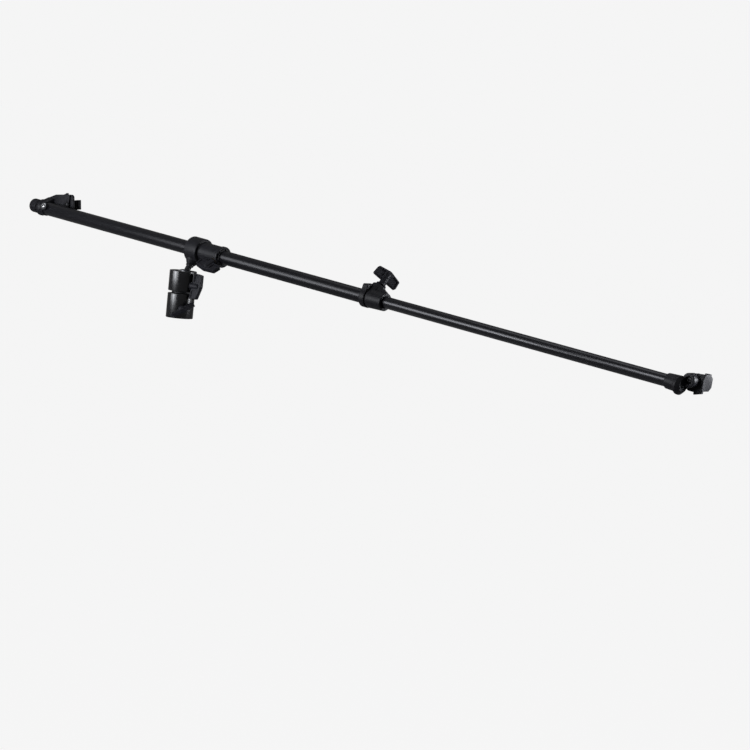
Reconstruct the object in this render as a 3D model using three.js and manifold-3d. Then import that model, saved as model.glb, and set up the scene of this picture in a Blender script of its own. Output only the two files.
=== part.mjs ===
// Telescopic arm that holds a round panel by its rim, on a ball head with a stand socket.
// Millimetres, +Z up. The origin is the centre of the stand socket's mouth.
// +X runs along the arm towards its thin end, and the panel hangs on the +Y side.
import * as THREE from 'three';
import { mergeVertices } from 'three/addons/utils/BufferGeometryUtils.js';
import Module from 'manifold-3d';

const wasm = await Module();
wasm.setup();

// Head, standing on the stand's stud
const barrelWall = 5.45;
const receiverHeight = 32.1;
const panGap = 3;
const edgeChamfer = 0.7;
const studRadius = 7.95;
const studClearance = 0.15;
const socketDepth = 24;
const counterboreDepth = 4.6;
const ballRadius = 12;
const ballProud = 2;
const ballLipShare = 0.44;
const ballFloor = 1.6;
const panWasherInset = 5;

// Pose of the ball and of the arm in it, in degrees
const stemLean = 27.6;
const armSlope = 5.08;

// Arm
const outerTubeRadius = 9;
const outerTubeWall = 1;
const innerTubeRadius = 7.5;
const innerTubeWall = 1.2;
const armAxisRise = 42.3;
const leftReach = 316;
const rightReach = 309.5;
const collarSeatDepth = 6.2;
const collarLength = 35.2;
const shownExtension = 444.5;
const innerInsertion = 110;

// Clearances and shared sizes
const gap = 0.3;
const overrun = 2;
const weldDistance = 0.0005;
const largeScrewRadius = 3;
const smallScrewRadius = 2;
const barrelSteps = 34;
const tubeSteps = 28;
const smallSteps = 18;
const ballSteps = 24;
const tinySteps = 12;

// Lock knobs with a tee grip
const knobNeckRadius = 5;
const knobNeckLength = 4;
const gripLength = 34.4;
const gripHeight = 15.5;
const gripShoulder = 12;
const gripThickness = 5.6;
const gripDish = 1;
const gripRim = 2.2;
const knobBoreDepth = 11;
const spotFaceDepth = 1.5;
const receiverKnobHeight = 12.6;
const receiverKnobTurn = -36.8;
const receiverGripTurn = 122;
const ballKnobDrop = 8.5;
const ballKnobTurn = 0;
const ballGripTurn = -13;

// Clamp round the arm
const clampRingRadius = 17;
const clampRingStart = -9.7;
const clampRingEnd = 12.3;
const clampSleeveRadius = 13;
const clampSleeveEnd = 48.7;
const clampLipLength = 4.5;
const clampLipHeight = 0.9;
const linerWall = 1.2;
const linerSlot = 1.6;
const linerOverhang = 1.5;
const clampKnobStation = 44;
const clampKnobDrop = 58.6;
const clampGripTurn = -8;
const clampBossRadius = 6;
const clampBossReach = 14;
const clampInsertLength = 3;
const clampKnobStandoff = 0.4;
const clampFootRadius = 5.6;
const clampNeckRadius = 9;

// Stem between the ball and the clamp
const stemRadius = 3.9;
const stemFlangeRadius = 5.2;
const stemFlangeLength = 2;
const stemFlangeRise = 20.5;
const spigotLength = 7.7;
const stemScrewHeadRadius = 5.6;
const stemScrewHeadHeight = 2.2;
const stemScrewDepth = 10;

// Lock collar on the end of the thick tube
const collarRadius = 12;
const collarFlangeLength = 8.5;
const collarGrooveLength = 1.8;
const collarGrooveDepth = 1.2;
const collarLobeReach = 17.2;
const collarLobeWidth = 15;
const collarBossReach = 18.5;
const collarBossRadius = 10;
const collarKnobStation = 11;
const collarKnobTurn = 39;
const collarGripTurn = 58;
const collarKnobStandoff = 2;
const collarKnobNeck = 7.8;
const collarFlangeRadius = 6.8;
const insertRadius = 5;
const insertBore = 3.3;
const insertLength = 5.5;
const padRadius = 4;
const padLength = 1.6;

// Closed end of the thick tube
const endCapRadius = 9.4;
const endCapLength = 14.5;
const endCapRound = 4;
const plugLength = 25;
const plugFlangeLength = 6;

// Bracket that carries the left clip
const bandRadius = 11.2;
const bandStart = 3.5;
const bandLength = 12;
const bandRimLength = 3.5;
const bandEndRadius = 10;
const bandScrewStation = 18.8;
const bandScrewLift = 20;
const bandScrewDepth = 8;
const bracketThickness = 2.6;
const leftPivotStation = 42;
const leftPivotRise = 11;
const bracketStart = 4.5;
const bracketStartRise = 14.4;
const bracketBend = 17;
const bracketBendRise = 20.4;
const bracketEnd = 45;
const bracketEndRise = 25.5;
const leftSwing = 14;

// Sleeve that carries the right clip
const sleeveStartRadius = 9;
const sleeveEndRadius = 9.5;
const sleeveLength = 14;
const sleeveSeatDepth = 14;
const bulbRadius = 11.2;
const bulbLength = 8.6;
const bulbConeLength = 5;
const bulbTipRadius = 7.4;
const lugFront = 5.5;
const lugRadius = 8.5;
const rightPivotStation = 26.7;
const rightPivotRise = 6.5;

// Rim clip, the same moulding at both ends
const clipFaceOffset = 12.3;
const clipPlate = 3.4;
const clipHubReach = 9.5;
const clipHubTop = 7;
const clipHubBottom = -13.4;
const clipThroat = 2;
const clipBack = 13.4;
const clipTop = 9.2;
const clipBottom = -16.4;
const clipBackBottom = -13.2;
const wallTop = 9;
const wallBottom = -10.5;
const clipWall = 3.5;
const clipDepth = 17.6;
const clipCorner = 4.5;
const facetStart = 1.5;
const facetStartRise = 7;
const facetEndRise = 0.8;
const facetDepth = 3;
const rimPad = 1.2;
const flapPlate = 3;
const flapInset = 12.8;
const flapReach = 7.5;
const flapBarrelRadius = 2.5;
const flapPinRadius = 1.1;
const flapPinInset = 7;
const flapLip = 3.5;
const flapHalfHeight = 6.6;
const lugThickness = 2.1;
const springTurns = 3;
const springPitch = 1.15;
const springWire = 0.3;
const springRadius = 1.85;
const clipScrewHeadRadius = 4.2;
const clipScrewHeadHeight = 2;
const nutAcross = 7;
const nutHeight = 2.5;
const nutSeat = 1.8;

// Sizes and heights along the head, worked out from the sizes above
const cavityRadius = ballRadius + gap;
const barrelRadius = cavityRadius + barrelWall;
const housingFloor = receiverHeight + panGap;
const cavityFloor = housingFloor + panGap;
const ballHeight = cavityFloor + ballFloor + cavityRadius;
const rimHeight = ballHeight + ballRadius - ballProud;
const ballKnobHeight = ballHeight - ballKnobDrop;
const socketRadius = studRadius + studClearance;
const largeHoleRadius = largeScrewRadius + gap;
const smallHoleRadius = smallScrewRadius + gap;

function finish(color, roughness, metalness) {
  return new THREE.MeshStandardMaterial({ color, roughness, metalness });
}

const glossBlack = finish(0x141416, 0.22, 0.6);
const anodised = finish(0x1b1b1f, 0.42, 0.7);
const blackPlastic = finish(0x202024, 0.55, 0);
const steel = finish(0xc4c6ca, 0.28, 1);
const brass = finish(0xb08d45, 0.35, 1);
const nylon = finish(0xd8d6cc, 0.6, 0);
const rubber = finish(0x17171a, 0.9, 0);

// Closed solid from a geometry, with its shared corners merged and its faces turned outwards.
function solid(geometry) {
  geometry.deleteAttribute('normal');
  geometry.deleteAttribute('uv');
  const merged = mergeVertices(geometry, weldDistance);
  const points = merged.attributes.position.array;
  const corners = merged.index.array;
  const triangles = [];
  let volume = 0;
  for (let i = 0; i < corners.length; i += 3) {
    const [a, b, c] = [corners[i], corners[i + 1], corners[i + 2]];
    if (a === b || b === c || c === a) continue;
    const [p, q, r] = [a, b, c].map((corner) => new THREE.Vector3().fromArray(points, 3 * corner));
    volume += p.dot(q.cross(r));
    triangles.push([a, b, c]);
  }
  if (volume < 0) triangles.forEach((triangle) => triangle.reverse());
  const triVerts = Uint32Array.from(triangles.flat());
  return new wasm.Manifold(new wasm.Mesh({ numProp: 3, vertProperties: points, triVerts }));
}

// Solid turned about Z from a list of [radius, height] corners.
function turned(profile, steps) {
  const corners = profile.map(([radius, height]) => new THREE.Vector2(radius, height));
  return new THREE.LatheGeometry(corners, steps).rotateX(Math.PI / 2);
}

function rod(radius, low, high, steps, chamfer = 0) {
  const profile = [[0, low], [radius - chamfer, low], [radius, low + chamfer]];
  profile.push([radius, high - chamfer], [radius - chamfer, high], [0, high]);
  return turned(profile, steps);
}

function ring(inner, outer, low, high, steps) {
  return turned([[inner, low], [outer, low], [outer, high], [inner, high], [inner, low]], steps);
}

// Plate between two heights from a closed outline in the XY plane.
function plate(outline, low, high) {
  const shape = new THREE.Shape(outline.map(([x, y]) => new THREE.Vector2(x, y)));
  return new THREE.ExtrudeGeometry(shape, { depth: high - low, bevelEnabled: false }).translate(0, 0, low);
}

function block(low, high) {
  const size = high.map((value, axis) => value - low[axis]);
  const centre = high.map((value, axis) => (value + low[axis]) / 2);
  return new THREE.BoxGeometry(...size).translate(...centre);
}

// Outline with each listed corner [x, y, radius] rounded by a short arc.
function rounded(corners, steps = 4) {
  const outline = [];
  corners.forEach(([x, y, radius], i) => {
    const corner = new THREE.Vector2(x, y);
    const before = new THREE.Vector2(...corners.at(i - 1)).sub(corner).normalize();
    const after = new THREE.Vector2(...corners[(i + 1) % corners.length]).sub(corner).normalize();
    if (!radius) {
      outline.push([x, y]);
      return;
    }
    const half = Math.acos(before.dot(after)) / 2;
    const middle = before.clone().add(after).normalize();
    const centre = corner.clone().addScaledVector(middle, radius / Math.sin(half));
    const start = corner.clone().addScaledVector(before, radius / Math.tan(half)).sub(centre);
    const end = corner.clone().addScaledVector(after, radius / Math.tan(half)).sub(centre);
    const sweep = Math.atan2(start.cross(end), start.dot(end));
    for (let step = 0; step <= steps; step += 1) {
      const point = start.clone().rotateAround(new THREE.Vector2(), (sweep * step) / steps).add(centre);
      outline.push([point.x, point.y]);
    }
  });
  return outline;
}

// Points [radius, height] along a circle about the axis, between two angles from straight up.
function arc(radius, centreHeight, from, to, steps) {
  const points = [];
  for (let step = 0; step <= steps; step += 1) {
    const angle = from + ((to - from) * step) / steps;
    points.push([radius * Math.sin(angle), centreHeight + radius * Math.cos(angle)]);
  }
  return points;
}

const alongX = (geometry) => geometry.rotateY(Math.PI / 2);
const alongY = (geometry) => geometry.rotateX(-Math.PI / 2);
const degrees = THREE.MathUtils.degToRad;

function part(name, shape, material, parent) {
  const { vertProperties, triVerts } = shape.getMesh();
  const geometry = new THREE.BufferGeometry();
  geometry.setAttribute('position', new THREE.BufferAttribute(vertProperties, 3));
  geometry.setIndex(new THREE.BufferAttribute(triVerts, 1));
  geometry.computeVertexNormals();
  const mesh = new THREE.Mesh(geometry, material);
  mesh.name = name;
  parent.add(mesh);
  return mesh;
}

function group(parent) {
  const child = new THREE.Group();
  parent.add(child);
  return child;
}

// Tee grip on a round neck. Its foot is at height 0 and its screw stands in the bore.
function teeKnob(screwRadius, foot, flangeRadius) {
  const half = gripLength / 2;
  const top = foot + gripHeight;
  const shoulder = foot + gripShoulder;
  const outline = rounded([
    [-half, foot, gripRim],
    [half, foot, gripRim],
    [half - gripDish, shoulder, gripRim - gripDish / 2],
    [0, top, half / 2],
    [gripDish - half, shoulder, gripRim - gripDish / 2],
  ]);
  const wings = plate(outline, -gripThickness / 2, gripThickness / 2).rotateX(Math.PI / 2);
  let knob = solid(wings);
  const dishHalf = half - gripRim;
  for (const side of [-1, 1]) {
    for (const face of [-1, 1]) {
      const inner = side * (knobNeckRadius + gripRim / 2);
      const outer = side * dishHalf;
      const dish = plate([
        [inner, foot + gripRim],
        [outer, foot + gripRim],
        [outer - side * gripDish, shoulder - gripRim / 2],
        [inner, top - 2 * gripRim],
      ], gripThickness / 2 - gripDish, gripThickness / 2 + overrun).rotateX(Math.PI / 2);
      if (face < 0) dish.rotateZ(Math.PI);
      knob = knob.subtract(solid(dish));
    }
  }
  const neckTop = top - gripRim;
  knob = knob.add(solid(turned([
    [0, 0],
    [knobNeckRadius - edgeChamfer, 0],
    [knobNeckRadius, edgeChamfer],
    [knobNeckRadius - edgeChamfer / 2, foot],
    [knobNeckRadius - edgeChamfer, neckTop - gripRim],
    [0, neckTop],
  ], smallSteps)));
  if (flangeRadius) knob = knob.add(solid(rod(flangeRadius, 0, gripRim, smallSteps, edgeChamfer / 2)));
  return knob.subtract(solid(rod(screwRadius + gap, -overrun, knobBoreDepth, tinySteps)));
}

// Screw and its knob along +Z from a tip that stands off the axis it points at.
function lockKnob(name, parent, tip, foot, screwRadius, neck = knobNeckLength, flangeRadius = 0) {
  const end = foot + knobBoreDepth - gap;
  part(`${name}_screw`, solid(rod(screwRadius, tip, end, tinySteps, edgeChamfer)), steel, parent);
  const shape = teeKnob(screwRadius, neck, flangeRadius);
  const knob = part(`${name}_knob`, shape, blackPlastic, parent);
  knob.position.z = foot;
  return knob;
}

const object = new THREE.Group();
object.name = 'reflector_holder_arm';

// Lower barrel: the socket for the stand's stud, with its lock knob.
const receiver = group(object);
const socketRoof = socketDepth + counterboreDepth;
const boltHeadRadius = socketRadius - 2 * edgeChamfer;
const receiverProfile = [
  [socketRadius + edgeChamfer, 0],
  [barrelRadius - edgeChamfer, 0],
  [barrelRadius, edgeChamfer],
  [barrelRadius, receiverHeight - edgeChamfer],
  [barrelRadius - edgeChamfer, receiverHeight],
  [largeHoleRadius, receiverHeight],
  [largeHoleRadius, socketRoof],
  [boltHeadRadius, socketRoof],
  [boltHeadRadius, socketDepth],
  [socketRadius, socketDepth],
  [socketRadius, edgeChamfer],
  [socketRadius + edgeChamfer, 0],
];
const receiverTurn = degrees(receiverKnobTurn);
// Screw hole with a spot face for the knob's foot, along +X from a given radius outwards.
function knobHole(holeRadius, from) {
  const spotRadius = knobNeckRadius + 2 * gap;
  return turned([
    [0, from],
    [holeRadius, from],
    [holeRadius, barrelRadius - spotFaceDepth],
    [spotRadius, barrelRadius - spotFaceDepth],
    [spotRadius, barrelRadius + overrun],
    [0, barrelRadius + overrun],
  ], smallSteps).rotateY(Math.PI / 2);
}

const receiverHole = knobHole(largeHoleRadius, socketRadius - overrun);
receiverHole.rotateZ(receiverTurn).translate(0, 0, receiverKnobHeight);
const receiverBody = solid(turned(receiverProfile, barrelSteps)).subtract(solid(receiverHole));
part('receiver_barrel', receiverBody, glossBlack, receiver);

const knobFoot = barrelRadius - spotFaceDepth + gap;
const receiverKnobMount = group(receiver);
receiverKnobMount.position.z = receiverKnobHeight;
receiverKnobMount.rotation.set(0, Math.PI / 2, receiverTurn, 'ZYX');
const receiverTip = socketRadius + edgeChamfer;
const receiverKnob = lockKnob('receiver_lock', receiverKnobMount, receiverTip, knobFoot, largeScrewRadius);
receiverKnob.rotation.z = degrees(receiverGripTurn);

// Pan joint: a friction washer in the groove and the bolt that holds both barrels.
const washerOuter = barrelRadius - panWasherInset;
const washerLow = receiverHeight + gap;
const washerHigh = housingFloor - gap;
const panWasher = ring(largeHoleRadius, washerOuter, washerLow, washerHigh, barrelSteps);
part('pan_washer', solid(panWasher), nylon, receiver);

const housing = group(object);
const boltHeadTop = socketRoof - gap;
const boltHeadBottom = socketDepth + edgeChamfer;
let panBolt = solid(turned([
  [0, boltHeadBottom],
  [boltHeadRadius - gap - edgeChamfer, boltHeadBottom],
  [boltHeadRadius - gap, boltHeadBottom + edgeChamfer],
  [boltHeadRadius - gap, boltHeadTop],
  [largeScrewRadius, boltHeadTop],
  [largeScrewRadius, cavityFloor - gap],
  [0, cavityFloor - gap],
], smallSteps));
const hexKey = rod(largeScrewRadius, boltHeadBottom - overrun, boltHeadBottom + overrun, 6);
panBolt = panBolt.subtract(solid(hexKey));
part('pan_bolt', panBolt, steel, housing);

// Upper barrel: a cup that closes over the ball, with a flared mouth for the stem.
const lipAngle = Math.acos(ballLipShare);
const mouthRadius = barrelRadius - panGap + edgeChamfer;
const housingProfile = [
  [largeHoleRadius, housingFloor],
  [barrelRadius - edgeChamfer, housingFloor],
  [barrelRadius, housingFloor + edgeChamfer],
  [barrelRadius, rimHeight - edgeChamfer],
  [barrelRadius - edgeChamfer, rimHeight],
  [mouthRadius, rimHeight],
  ...arc(cavityRadius, ballHeight, lipAngle, Math.PI / 2, 5),
  [cavityRadius, cavityFloor],
  [largeHoleRadius, cavityFloor],
  [largeHoleRadius, housingFloor],
];
const ballTurn = degrees(ballKnobTurn);
const lockScrewRadius = largeScrewRadius - gap;
const wallHole = knobHole(lockScrewRadius + gap, cavityRadius - gap);
wallHole.rotateZ(ballTurn).translate(0, 0, ballKnobHeight);
const housingBody = solid(turned(housingProfile, barrelSteps)).subtract(solid(wallHole));
part('ball_housing', housingBody, glossBlack, housing);

// Cup under the ball, which the lock screw presses.
const seatLow = cavityFloor + gap;
const seatHigh = ballHeight - (ballRadius * 3) / 8;
const seatHoleRadius = largeHoleRadius + edgeChamfer;
const seatArcFrom = Math.PI - Math.asin(seatHoleRadius / cavityRadius);
const seatArcTo = Math.PI - Math.acos((ballHeight - seatHigh) / cavityRadius);
const ballSeat = turned([
  [seatHoleRadius, seatLow],
  [ballRadius, seatLow],
  [ballRadius, seatHigh],
  ...arc(cavityRadius, ballHeight, seatArcTo, seatArcFrom, 5),
  [seatHoleRadius, seatLow],
], tubeSteps);
part('ball_seat', solid(ballSeat), nylon, housing);

const ballKnobMount = group(housing);
ballKnobMount.position.z = ballKnobHeight;
ballKnobMount.rotation.set(0, Math.PI / 2, ballTurn, 'ZYX');
const ballKnob = lockKnob('ball_lock', ballKnobMount, ballRadius + 2 * gap, knobFoot, lockScrewRadius);
ballKnob.rotation.z = degrees(ballGripTurn);

// Ball, and the frame that leans with it: X along the arm, Z along the stem.
const head = group(object);
head.position.z = ballHeight;
head.rotation.set(degrees(-stemLean), degrees(armSlope), 0, 'YXZ');
const ball = new THREE.SphereGeometry(ballRadius, ballSteps, ballSteps / 2).rotateX(Math.PI / 2);
part('ball', solid(ball), steel, head);

const spigotTop = stemFlangeRise + spigotLength;
const footAngle = Math.asin(stemRadius / cavityRadius);
const tappedLow = spigotTop - stemScrewDepth - gap;
const stem = turned([
  ...arc(cavityRadius, 0, 0, footAngle, 3),
  [stemRadius, stemFlangeRise - stemFlangeLength - edgeChamfer],
  [stemFlangeRadius, stemFlangeRise - stemFlangeLength],
  [stemFlangeRadius, stemFlangeRise],
  [stemRadius, stemFlangeRise],
  [stemRadius, spigotTop],
  [smallHoleRadius, spigotTop],
  [smallHoleRadius, tappedLow],
  [0, tappedLow],
], smallSteps);
part('ball_stem', solid(stem), steel, head);

const stemHeadLow = spigotTop + gap;
const stemHeadHigh = stemHeadLow + stemScrewHeadHeight;
let stemScrew = solid(turned([
  [0, spigotTop - stemScrewDepth],
  [smallScrewRadius, spigotTop - stemScrewDepth],
  [smallScrewRadius, stemHeadLow],
  [stemScrewHeadRadius, stemHeadLow],
  [stemScrewHeadRadius, stemHeadHigh - edgeChamfer],
  [stemScrewHeadRadius - edgeChamfer, stemHeadHigh],
  [0, stemHeadHigh],
], smallSteps));
const stemKey = rod(smallScrewRadius, stemHeadHigh - edgeChamfer, stemHeadHigh + overrun, 6);
stemScrew = stemScrew.subtract(solid(stemKey));
part('stem_screw', stemScrew, steel, head);

// Clamp: its origin is where the arm's axis crosses the stem's axis.
const clamp = group(head);
clamp.position.z = armAxisRise;
const linerInner = outerTubeRadius + gap;
const linerOuter = linerInner + linerWall;
const clampBore = linerOuter + gap;
const lipStart = clampSleeveEnd - clampLipLength;
const clampRise = armAxisRise - stemFlangeRise - gap;
const neckRise = clampRingRadius - edgeChamfer;
let clampBody = solid(alongX(turned([
  [0, clampRingStart],
  [clampRingRadius - edgeChamfer, clampRingStart],
  [clampRingRadius, clampRingStart + edgeChamfer],
  [clampRingRadius, clampRingEnd - edgeChamfer],
  [clampRingRadius - edgeChamfer, clampRingEnd],
  [clampSleeveRadius, clampRingEnd],
  [clampSleeveRadius, lipStart],
  [clampSleeveRadius + clampLipHeight, lipStart + clampLipHeight],
  [clampSleeveRadius + clampLipHeight, clampSleeveEnd - edgeChamfer],
  [clampSleeveRadius + clampLipHeight - edgeChamfer, clampSleeveEnd],
  [0, clampSleeveEnd],
], barrelSteps)));
clampBody = clampBody.add(solid(turned([
  [0, -clampRise],
  [clampFootRadius, -clampRise],
  [clampNeckRadius, -neckRise],
  [clampNeckRadius, -clampBore],
  [0, -clampBore],
], smallSteps)));
const clampAngle = degrees(clampKnobDrop);
const clampKnobAngle = Math.PI / 2 + clampAngle;
const towardsClampKnob = (geometry) => geometry.rotateX(clampKnobAngle).translate(clampKnobStation, 0, 0);
const clampBoss = rod(clampBossRadius, 0, clampBossReach, smallSteps, edgeChamfer);
clampBody = clampBody.add(solid(towardsClampKnob(clampBoss)));
const clampHole = alongX(rod(clampBore, clampRingStart - overrun, clampSleeveEnd + overrun, barrelSteps));
clampBody = clampBody.subtract(solid(clampHole));
const clampInsertHole = rod(insertRadius + gap, 0, clampBossReach + overrun, smallSteps);
clampBody = clampBody.subtract(solid(towardsClampKnob(clampInsertHole)));
const spigotHole = rod(stemRadius + gap, -clampRise - overrun, 0, smallSteps);
const headSeat = armAxisRise - spigotTop;
const headHole = rod(stemScrewHeadRadius + gap, -headSeat, 0, smallSteps);
clampBody = clampBody.subtract(solid(spigotHole)).subtract(solid(headHole));
part('clamp_body', clampBody, blackPlastic, clamp);

const insertLow = clampBossReach - clampInsertLength;
const clampKnobMount = group(clamp);
clampKnobMount.position.x = clampKnobStation;
clampKnobMount.rotation.x = clampKnobAngle;
const clampInsert = ring(insertBore, insertRadius, insertLow, clampBossReach - gap, smallSteps);
part('clamp_insert', solid(clampInsert), brass, clampKnobMount);
const clampKnobFoot = clampBossReach + clampKnobStandoff;
const clampTip = linerOuter + edgeChamfer;
const clampKnob = lockKnob('clamp', clampKnobMount, clampTip, clampKnobFoot, largeScrewRadius);
clampKnob.rotation.z = degrees(clampGripTurn);

// Everything below turns about the arm's own axis. Its Y axis stays level.
const arm = group(head);
arm.position.z = armAxisRise;
arm.rotation.x = degrees(stemLean);
const linerStart = clampRingStart - linerOverhang;
const linerEnd = clampSleeveEnd + linerOverhang;
let liner = solid(alongX(ring(linerInner, linerOuter, linerStart, linerEnd, barrelSteps)));
const slotLow = [linerStart - overrun, -linerSlot / 2, 0];
const slotHigh = [linerEnd + overrun, linerSlot / 2, linerOuter + overrun];
liner = liner.subtract(solid(block(slotLow, slotHigh)));
part('clamp_liner', liner, nylon, arm);

// Thick tube, with the closed plug at its left end.
const outerBore = outerTubeRadius - outerTubeWall;
let outerTube = solid(alongX(ring(outerBore, outerTubeRadius, -leftReach, rightReach, tubeSteps)));
const bandScrewX = bandScrewStation - leftReach;
const bandScrewTurn = Math.PI / 2 - degrees(bandScrewLift);
const towardsBandScrew = (geometry) => geometry.rotateX(bandScrewTurn).translate(bandScrewX, 0, 0);
const bandScrewTip = bandRadius - bandScrewDepth;
const bandHoleEnd = bandRadius + overrun;
function bandHole() {
  return solid(towardsBandScrew(rod(smallHoleRadius, bandScrewTip - gap, bandHoleEnd, tinySteps)));
}

outerTube = outerTube.subtract(bandHole());
part('outer_tube', outerTube, anodised, arm);

const capEnd = -leftReach - gap;
const capStart = capEnd - endCapLength;
const plugRadius = outerBore - gap;
const capProfile = [
  [0, capStart],
  [endCapRadius - endCapRound, capStart],
  [endCapRadius - endCapRound / 3, capStart + endCapRound / 3],
  [endCapRadius, capStart + endCapRound],
  [endCapRadius, capEnd - edgeChamfer],
  [endCapRadius - edgeChamfer, capEnd],
  [plugRadius, capEnd],
  [plugRadius, capEnd + plugLength - edgeChamfer],
  [plugRadius - edgeChamfer, capEnd + plugLength],
  [0, capEnd + plugLength],
];
const endCap = solid(alongX(turned(capProfile, tubeSteps))).subtract(bandHole());
part('left_end_cap', endCap, blackPlastic, arm);

// Bracket: a band round the tube, and a flat arm behind it that carries the left clip.
const bandX = bandStart - leftReach;
const bandEndX = bandX + bandLength;
const bracketBack = clipFaceOffset - gap;
const bracketFront = bracketBack - bracketThickness;
const leftPivotX = leftPivotStation - leftReach;
let bracket = solid(alongX(turned([
  [0, bandX],
  [bandRadius - edgeChamfer, bandX],
  [bandRadius, bandX + edgeChamfer],
  [bandRadius, bandX + bandRimLength],
  [bandEndRadius, bandX + 2 * bandRimLength],
  [bandEndRadius, bandEndX],
  [0, bandEndX],
], tubeSteps)));
const screwPad = rod(clipScrewHeadRadius + 2 * edgeChamfer, 0, bandRadius + edgeChamfer, smallSteps);
bracket = bracket.add(solid(towardsBandScrew(screwPad)));
const bracketRight = bracketEnd - leftReach;
const bracketOutline = rounded([
  [bandX, -bandRadius + edgeChamfer, edgeChamfer],
  [bandEndX, -bandRadius + edgeChamfer, edgeChamfer],
  [bracketRight, leftPivotRise - lugRadius, lugRadius / 2],
  [bracketRight, bracketEndRise, 2 * edgeChamfer],
  [bracketBend - leftReach, bracketBendRise, lugRadius / 2],
  [bracketStart - leftReach, bracketStartRise, edgeChamfer],
  [bracketStart - leftReach, 0, edgeChamfer],
]);
const bracketArm = plate(bracketOutline, bracketFront, bracketBack).rotateX(Math.PI / 2).scale(1, -1, 1);
bracket = bracket.add(solid(bracketArm));
const bandWeb = plate([
  [0, -bandEndRadius],
  [bracketBack, -bandRadius / 2],
  [bracketBack, bracketStartRise],
  [bracketFront, bracketStartRise],
  [0, bandRadius - edgeChamfer],
], bandX, bandEndX).rotateY(Math.PI / 2).rotateX(Math.PI / 2);
bracket = bracket.add(solid(bandWeb));
const bandBore = alongX(rod(outerTubeRadius + gap, bandX - overrun, leftPivotX + 2 * lugRadius, tubeSteps));
bracket = bracket.subtract(solid(bandBore)).subtract(bandHole());
const pivotHole = alongY(rod(smallHoleRadius, 0, bracketBack + overrun, tinySteps));
bracket = bracket.subtract(solid(pivotHole.translate(leftPivotX, 0, leftPivotRise)));
part('left_clip_bracket', bracket, blackPlastic, arm);

// Pan-head screw along +Z from under its head at `seat` down to `end`, with a key socket.
function panScrew(seat, end) {
  const crown = seat - clipScrewHeadHeight;
  const screw = solid(turned([
    [0, crown],
    [clipScrewHeadRadius - clipScrewHeadHeight, crown],
    [clipScrewHeadRadius, seat - edgeChamfer],
    [clipScrewHeadRadius, seat],
    [smallScrewRadius, seat],
    [smallScrewRadius, end],
    [0, end],
  ], smallSteps));
  return screw.subtract(solid(rod(smallScrewRadius, crown - overrun, crown + edgeChamfer, 6)));
}

function nut(name, parent, low) {
  const hexRadius = nutAcross / Math.sqrt(3);
  const body = solid(alongY(rod(hexRadius, low, low + nutHeight, 6)));
  const thread = solid(alongY(rod(smallHoleRadius, low - overrun, low + nutHeight + overrun, tinySteps)));
  return part(name, body.subtract(thread), steel, parent);
}

const bandScrewMount = group(arm);
bandScrewMount.position.x = bandScrewX;
bandScrewMount.rotation.x = bandScrewTurn - Math.PI;
const bandScrewSeat = -bandRadius - edgeChamfer - gap;
part('left_band_screw', panScrew(bandScrewSeat, -bandScrewTip), steel, bandScrewMount);

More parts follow.
